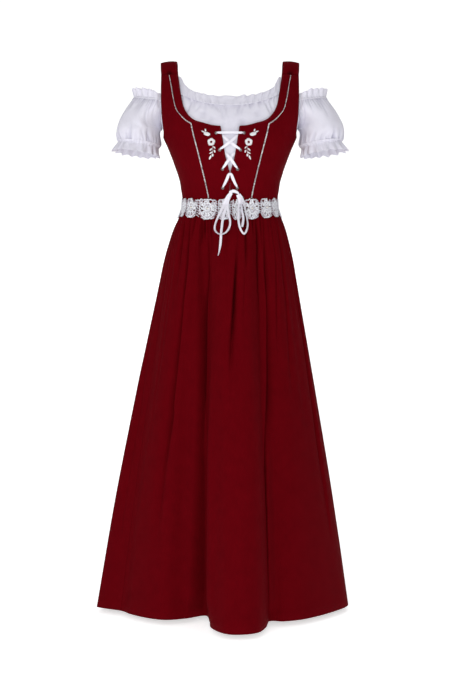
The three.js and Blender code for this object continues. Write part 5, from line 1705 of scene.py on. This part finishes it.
def lacePoint(deg, z, out):
    deg, z, out = np.broadcast_arrays(deg, z, out)
    above = torsoPoint(deg, z, out)
    base = skirtBase(deg, shareDown(z))
    stretch = 1 + out / np.hypot(base[..., 0], base[..., 1])
    below = np.stack([base[..., 0] * stretch, base[..., 1] * stretch, z], -1)
    return np.where((z >= sizes["waistZ"])[..., None], above, below)


# One medallion of corded lace. Gives how far outside the thread a place is, below 0 in it, and its rise.
def laceField(x, h, n):
    random = np.random.RandomState(300 + n)
    wob = 0.45 * softNoise(310 + n, x / 3.1, h / 3.1) + 0.25 * softNoise(340 + n, x / 1.3, h / 1.3)
    holes = np.full(x.shape, 99.0)
    rise = 0.15 + 0.1 * softNoise(370 + n, x / 0.9, h / 0.9)

    def hole(distance):
        nonlocal holes
        holes = np.minimum(holes, distance)

    def raised(distance, high, width):
        nonlocal rise
        rise = np.maximum(rise, high * np.sqrt(np.clip(1 - (distance / width) ** 2, 0, 1)))

    # the ladder between two medallions, with its two cords
    ladder = lace["ladder"]
    for k in range(ladder["holes"]):
        cx = ladder["at"] + random.uniform(-0.3, 0.3)
        cy = ladder["first"] + ladder["step"] * k + random.uniform(-0.6, 0.6)
        size = ladder["hole"] * random.uniform(0.75, 1.1)
        hole(np.hypot((x - cx) * 1.05, h - cy) - size)
        raised(np.abs(np.hypot(x - cx, h - cy) - size - 0.8), 0.55, 0.8)
    for cx in ladder["cords"]:
        raised(np.abs(x - cx - 0.4 * np.sin(h / 3.2 + n)), 0.5, 0.9)
    # the flower: petals round a heart
    mx, mh = lace["middle"]
    px, ph = (x - mx) / lace["reach"][0], (h - mh) / lace["reach"][1]
    r, angle = np.hypot(px, ph), np.arctan2(px, -ph)
    full, heart = lace["round"], lace["heart"]
    sector = 2 * math.pi / lace["petals"][n % 2]
    turned = angle / sector + (0.5 if n % 2 else 0.0) + random.uniform(-0.12, 0.12)
    side = turned - np.round(turned)
    across = np.abs(side) * sector * r * full
    half = 0.5 * sector * r * full
    swell = np.clip((r - heart) / 0.8, 0, 1)
    inPetal = (r > heart) & (r < 1.06)
    dome = np.sqrt(np.clip(1 - (across / np.maximum(half, 0.4)) ** 2, 0, 1)) * np.sin(math.pi * swell) ** 0.5
    ribs = 0.12 * np.sin(r * 62 + np.abs(side) * 6)
    ribs = ribs + 0.28 * np.sin(r * 26 + 2 * softNoise(430 + n, angle * 2, r * 3))
    vein = -0.4 * np.exp(-((across / 0.55) ** 2)) * (r > 0.35)
    rise = np.where(inPetal, np.maximum(rise, 1.05 * dome + ribs + vein), rise)
    # gaps between the petals, wider towards the foot and the two sides
    gapWide = mix(0.1, 1.5, smooth((r - 0.45) / 0.35)) * (0.5 + 0.6 * softNoise(400 + n, angle * 2.5))
    low = smooth((0.5 - ph) / 0.4)
    hole(np.where((r > 0.42) & (r < 0.93), (half - across) - gapWide * (0.45 + 0.75 * low), 99.0))
    raised(np.abs(r - 1.0) * 15, 0.8, 1.2)
    raised(np.abs(r - heart - 0.02) * 15, 0.9, 0.9)
    raised(np.hypot(x - mx, h - mh), 1.0, 2.6)
    # open notches below the top edge, and small eyes in the corners
    for cx in (mx - 6 - random.uniform(0, 2), mx + 5 + random.uniform(0, 2)):
        hole(np.maximum(np.abs(x - cx) - (h - random.uniform(34, 37)) * 0.4, h - random.choice([43.2, 60])))
    # the medallion is round at its corners, and a wedge of red stands open beside the ladder
    away = np.abs(x - mx) / full
    aside = np.abs(x - ladder["at"])
    beyond = aside > ladder["half"]
    hole(np.where(beyond, h - random.uniform(3, 9) * away**4 + 0.3, 99.0) * 0.8)
    hole(np.where(beyond, lace["tall"] - random.uniform(1, 5) * away**4 + 0.3 - h, 99.0) * 0.8)
    hole(aside - (h - random.uniform(35, 46)) * 0.45)
    hole(aside - (random.uniform(2, 14) - h) * 0.42)
    for cx, cy in lace["eyes"]:
        hole(np.hypot(x - cx, h - cy) - lace["eye"] * random.uniform(0.7, 1.2))
    # foot and top cords
    raised(np.abs(h - 1.9), 0.85, 1.2)
    raised(np.abs(h - lace["tall"] + 1.3), 0.7, 1.1)
    return -(holes + wob * 0.6), rise * lace["reliefHigh"]


# Foot and top edge of the lace at a place round the waist, without its picots.
def laceEdges(deg):
    front = np.maximum(0, np.cos(np.radians(deg))) ** 2
    foot = lace["footZ"] - (lace["frontDip"] + lace["frontDrop"]) * front
    return foot, lace["topZ"] - lace["frontDip"] * front


# Half of the lace: outer and inner face, the cells that are thread, its own coordinates and its relief.
def laceGrid(fromDeg, toDeg):
    count = round(lace["around"] * (toDeg - fromDeg) / 360)
    across, up = lace["cells"]
    wide, tall = lace["wide"], lace["tall"]
    columns = count * across + 1
    x = np.arange(columns)[None] * wide / across + np.zeros((up + 1, 1))
    h = np.linspace(0, tall, up + 1)[:, None] + np.zeros((1, columns))
    number = np.minimum(np.floor_divide(np.arange(columns), across), count - 1)

    def fieldAt(x, h):
        field, rise = np.zeros(x.shape), np.zeros(x.shape)
        first = count if fromDeg > 0 else 0
        for n in range(count):
            own = number == n
            field[:, own], rise[:, own] = laceField(x[:, own] - n * wide, h[:, own], first + n)
        return field, rise

    field, rise = fieldAt(x, h)
    # the mesh's lines are moved onto the edges of the holes, so these come out round
    step = 0.2
    slopeX = (fieldAt(x + step, h)[0] - fieldAt(x - step, h)[0]) / (2 * step)
    slopeH = (fieldAt(x, h + step)[0] - fieldAt(x, h - step)[0]) / (2 * step)
    steep = np.maximum(slopeX**2 + slopeH**2, 0.3)
    near = (np.abs(field) < 0.5) & (h > 0) & (h < tall)
    x = x - np.where(near & (x > 0) & (x < columns - 1), np.clip(field * slopeX / steep, -0.36, 0.36), 0)
    h = h - np.where(near, np.clip(field * slopeH / steep, -0.38, 0.38), 0)
    field, rise = fieldAt(x, h)
    kept = cellMiddles(field) < 0.02
    place = np.clip(x / wide, 0, count)
    share = place - np.minimum(np.floor(place), count - 1)
    ends = lace["backEnds"] if fromDeg > 0 else lace["frontEnds"]
    deg = np.clip(np.interp(place, np.arange(count + 1), ends), fromDeg + 0.1, toDeg - 0.1)
    arch = np.sin(math.pi * np.clip((share - 0.085) / 0.915, 0, 1)) ** 0.6
    picot = 0.9 * np.abs(np.sin(math.pi * x / 4.2)) ** 0.7 + 1.1 * softNoise(470, x / 2.6)
    foot, top = laceEdges(deg)
    foot = foot - lace["scallop"] * arch - picot + 0.5
    ragged = 0.5 * np.sin(2 * math.pi * x / 6.8) + 1.4 * softNoise(471, x / 2.9)
    z = mix(foot, top - lace["peak"] * (1 - arch) + ragged, h / tall)
    outer = lacePoint(deg, z, lace["standOff"] + lace["base"] + np.maximum(rise, 0.05))
    return outer, lacePoint(deg, z, lace["standOff"]), kept, np.stack([x, h], -1), rise


# A small pearl sits on the heart of each large medallion.
def addPearls(name, ends):
    angles = np.radians([-88, -60, -25, 10, 40, 66, 88])
    profile = lace["pearl"] * np.stack([np.cos(angles), np.sin(angles)], -1)
    meshes = []
    for start, end in zip(ends[:-1], ends[1:]):
        if end - start < lace["pearlFrom"]:
            continue
        deg = mix(start, end, lace["middle"][0] / lace["wide"])
        foot, top = laceEdges(deg)
        z = mix(foot - lace["scallop"], top, lace["middle"][1] / lace["tall"])
        centre = lacePoint(deg, z, lace["standOff"] + lace["base"] + 1.6)
        out = unit(lacePoint(deg, z, 5.0) - lacePoint(deg, z, 0.0))
        meshes.append(turnedRing("pearl", profile, centre, out, steps=14))
    addPiece(name, joinMeshes(name, meshes), pearlLook, "lace")


def addLace(name, fromDeg, toDeg, restsOn):
    outer, inner, kept, place, rise = laceGrid(fromDeg, toDeg)
    mesh = wallMesh(name, outer, 1, keeps=kept, inner=inner, place=place, rise=rise)
    piece = addPiece(name + "_lace", mesh, laceLook, "lace", [name])
    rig.sheet(piece, flat=(0.34, 0.05), held="laid", rests_on=restsOn, area=0.0125)


addLace("waist_lace_front", -90, 90, ["skirt_front", "bodice_front_left", "bodice_front_right"])
addLace("waist_lace_back", 90, 270, ["skirt_back", "bodice_back"])
addPearls("lace_pearls_front", lace["frontEnds"])
addPearls("lace_pearls_back", lace["backEnds"])
print("lace done")

# Silk embroidery on both front panels.
embroidery = {
    # places in the front view in mm, on the wearer's right; the other side is a mirror of it
    "bud": ((-60.3, -192.0), (-46.2, -191.5), 9.4),
    "leaves": [  # from, to, width, as of the bud
        ((-56.6, -188.9), (-65.8, -184.5), 3.0), ((-55.4, -185.8), (-58.0, -180.2), 3.2),
        ((-38.7, -221.0), (-33.7, -225.3), 2.4), ((-41.8, -224.8), (-46.7, -230.3), 3.0),
        ((-37.4, -229.7), (-33.7, -234.0), 4.0), ((-40.5, -232.8), (-47.3, -237.1), 2.8),
        ((-40.5, -237.7), (-39.3, -243.3), 3.9), ((-44.2, -240.8), (-47.6, -250.1), 4.3),
    ],
    "stem": [(-40.3, -219.5), (-39.9, -225), (-39.7, -231), (-40.9, -237), (-43.6, -241)],
    "flower": {"middle": (-43.3, -210.4), "outer": 9.1, "inner": 2.7, "petals": 5},
    "thread": 0.36, "pitch": 0.55, "flowerThreads": 84,
}


# Stitches from each start to each end, arched over the cloth.
def threadsBetween(starts, ends, side, high):
    starts, ends = np.asarray(starts, float), np.asarray(ends, float)
    s = np.array([0, 0.08, 0.3, 0.5, 0.7, 0.92, 1])
    arch = np.array([-0.25, 0.12, 0.8, 1, 0.8, 0.12, -0.25])
    flat = starts[:, None] + (ends - starts)[:, None] * s[None, :, None]
    x, z = flat[..., 0] * side, flat[..., 1]
    points = frontPoint(x, z, 0.15 + high * arch[None] + 0 * x)
    out = unit(frontPoint(x, z, 1.0 + 0 * x) - frontPoint(x, z, 0 * x))
    radii = embroidery["thread"] * np.array([0.5, 0.85, 1, 1, 1, 0.85, 0.5])
    return threadMesh("threads", points, radii, out, sides=5)


def leafThreads(start, end, wide, side):
    start, end = np.array(start), np.array(end)
    along = end - start
    long = np.linalg.norm(along)
    along = along / long
    across = np.array([-along[1], along[0]])
    count = max(5, int(long / embroidery["pitch"]))
    place = (np.arange(count) + 0.5) / count
    half = wide / 2 * np.sin(math.pi * np.clip(place, 0.05, 0.97)) ** 0.6 + 0.25
    centre = start + along * (place * long)[:, None]
    reach = (across - along * 0.5) * half[:, None]
    return threadsBetween(centre - reach, centre + reach, side, 0.2 + 0.12 * wide ** 0.8)


def flowerThreads(spec, side):
    count = embroidery["flowerThreads"]
    angle = 2 * math.pi * np.arange(count) / count
    petal = np.abs(np.cos(angle * spec["petals"] / 2)) ** 0.7
    outer = spec["outer"] * (0.86 + 0.14 * petal)
    way = np.stack([np.sin(angle), np.cos(angle)], -1)
    middle = np.array(spec["middle"])
    lean = np.stack([np.cos(angle), -np.sin(angle)], -1) * 0.8
    return threadsBetween(middle + way * spec["inner"], middle + way * outer[:, None] + lean, side, 1.1)


def addEmbroidery(name, side):
    spec = embroidery
    meshes = [flowerThreads(spec["flower"], side)]
    meshes += [leafThreads(*leaf, side) for leaf in (spec["bud"], *spec["leaves"])]
    meshes.append(threadsBetween(spec["stem"][:-1], spec["stem"][1:], side, 0.2))
    addPiece(name, joinMeshes(name, meshes), silkLook, "ribbon")


addEmbroidery("embroidery_right", 1)
addEmbroidery("embroidery_left", -1)
print("embroidery done")

with open("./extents.json", "w") as report:
    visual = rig.bounds()
    json.dump({"cad": [list(map(float, p)) for p in cadBox],
               "visual": [list(map(float, p)) for p in visual]}, report)
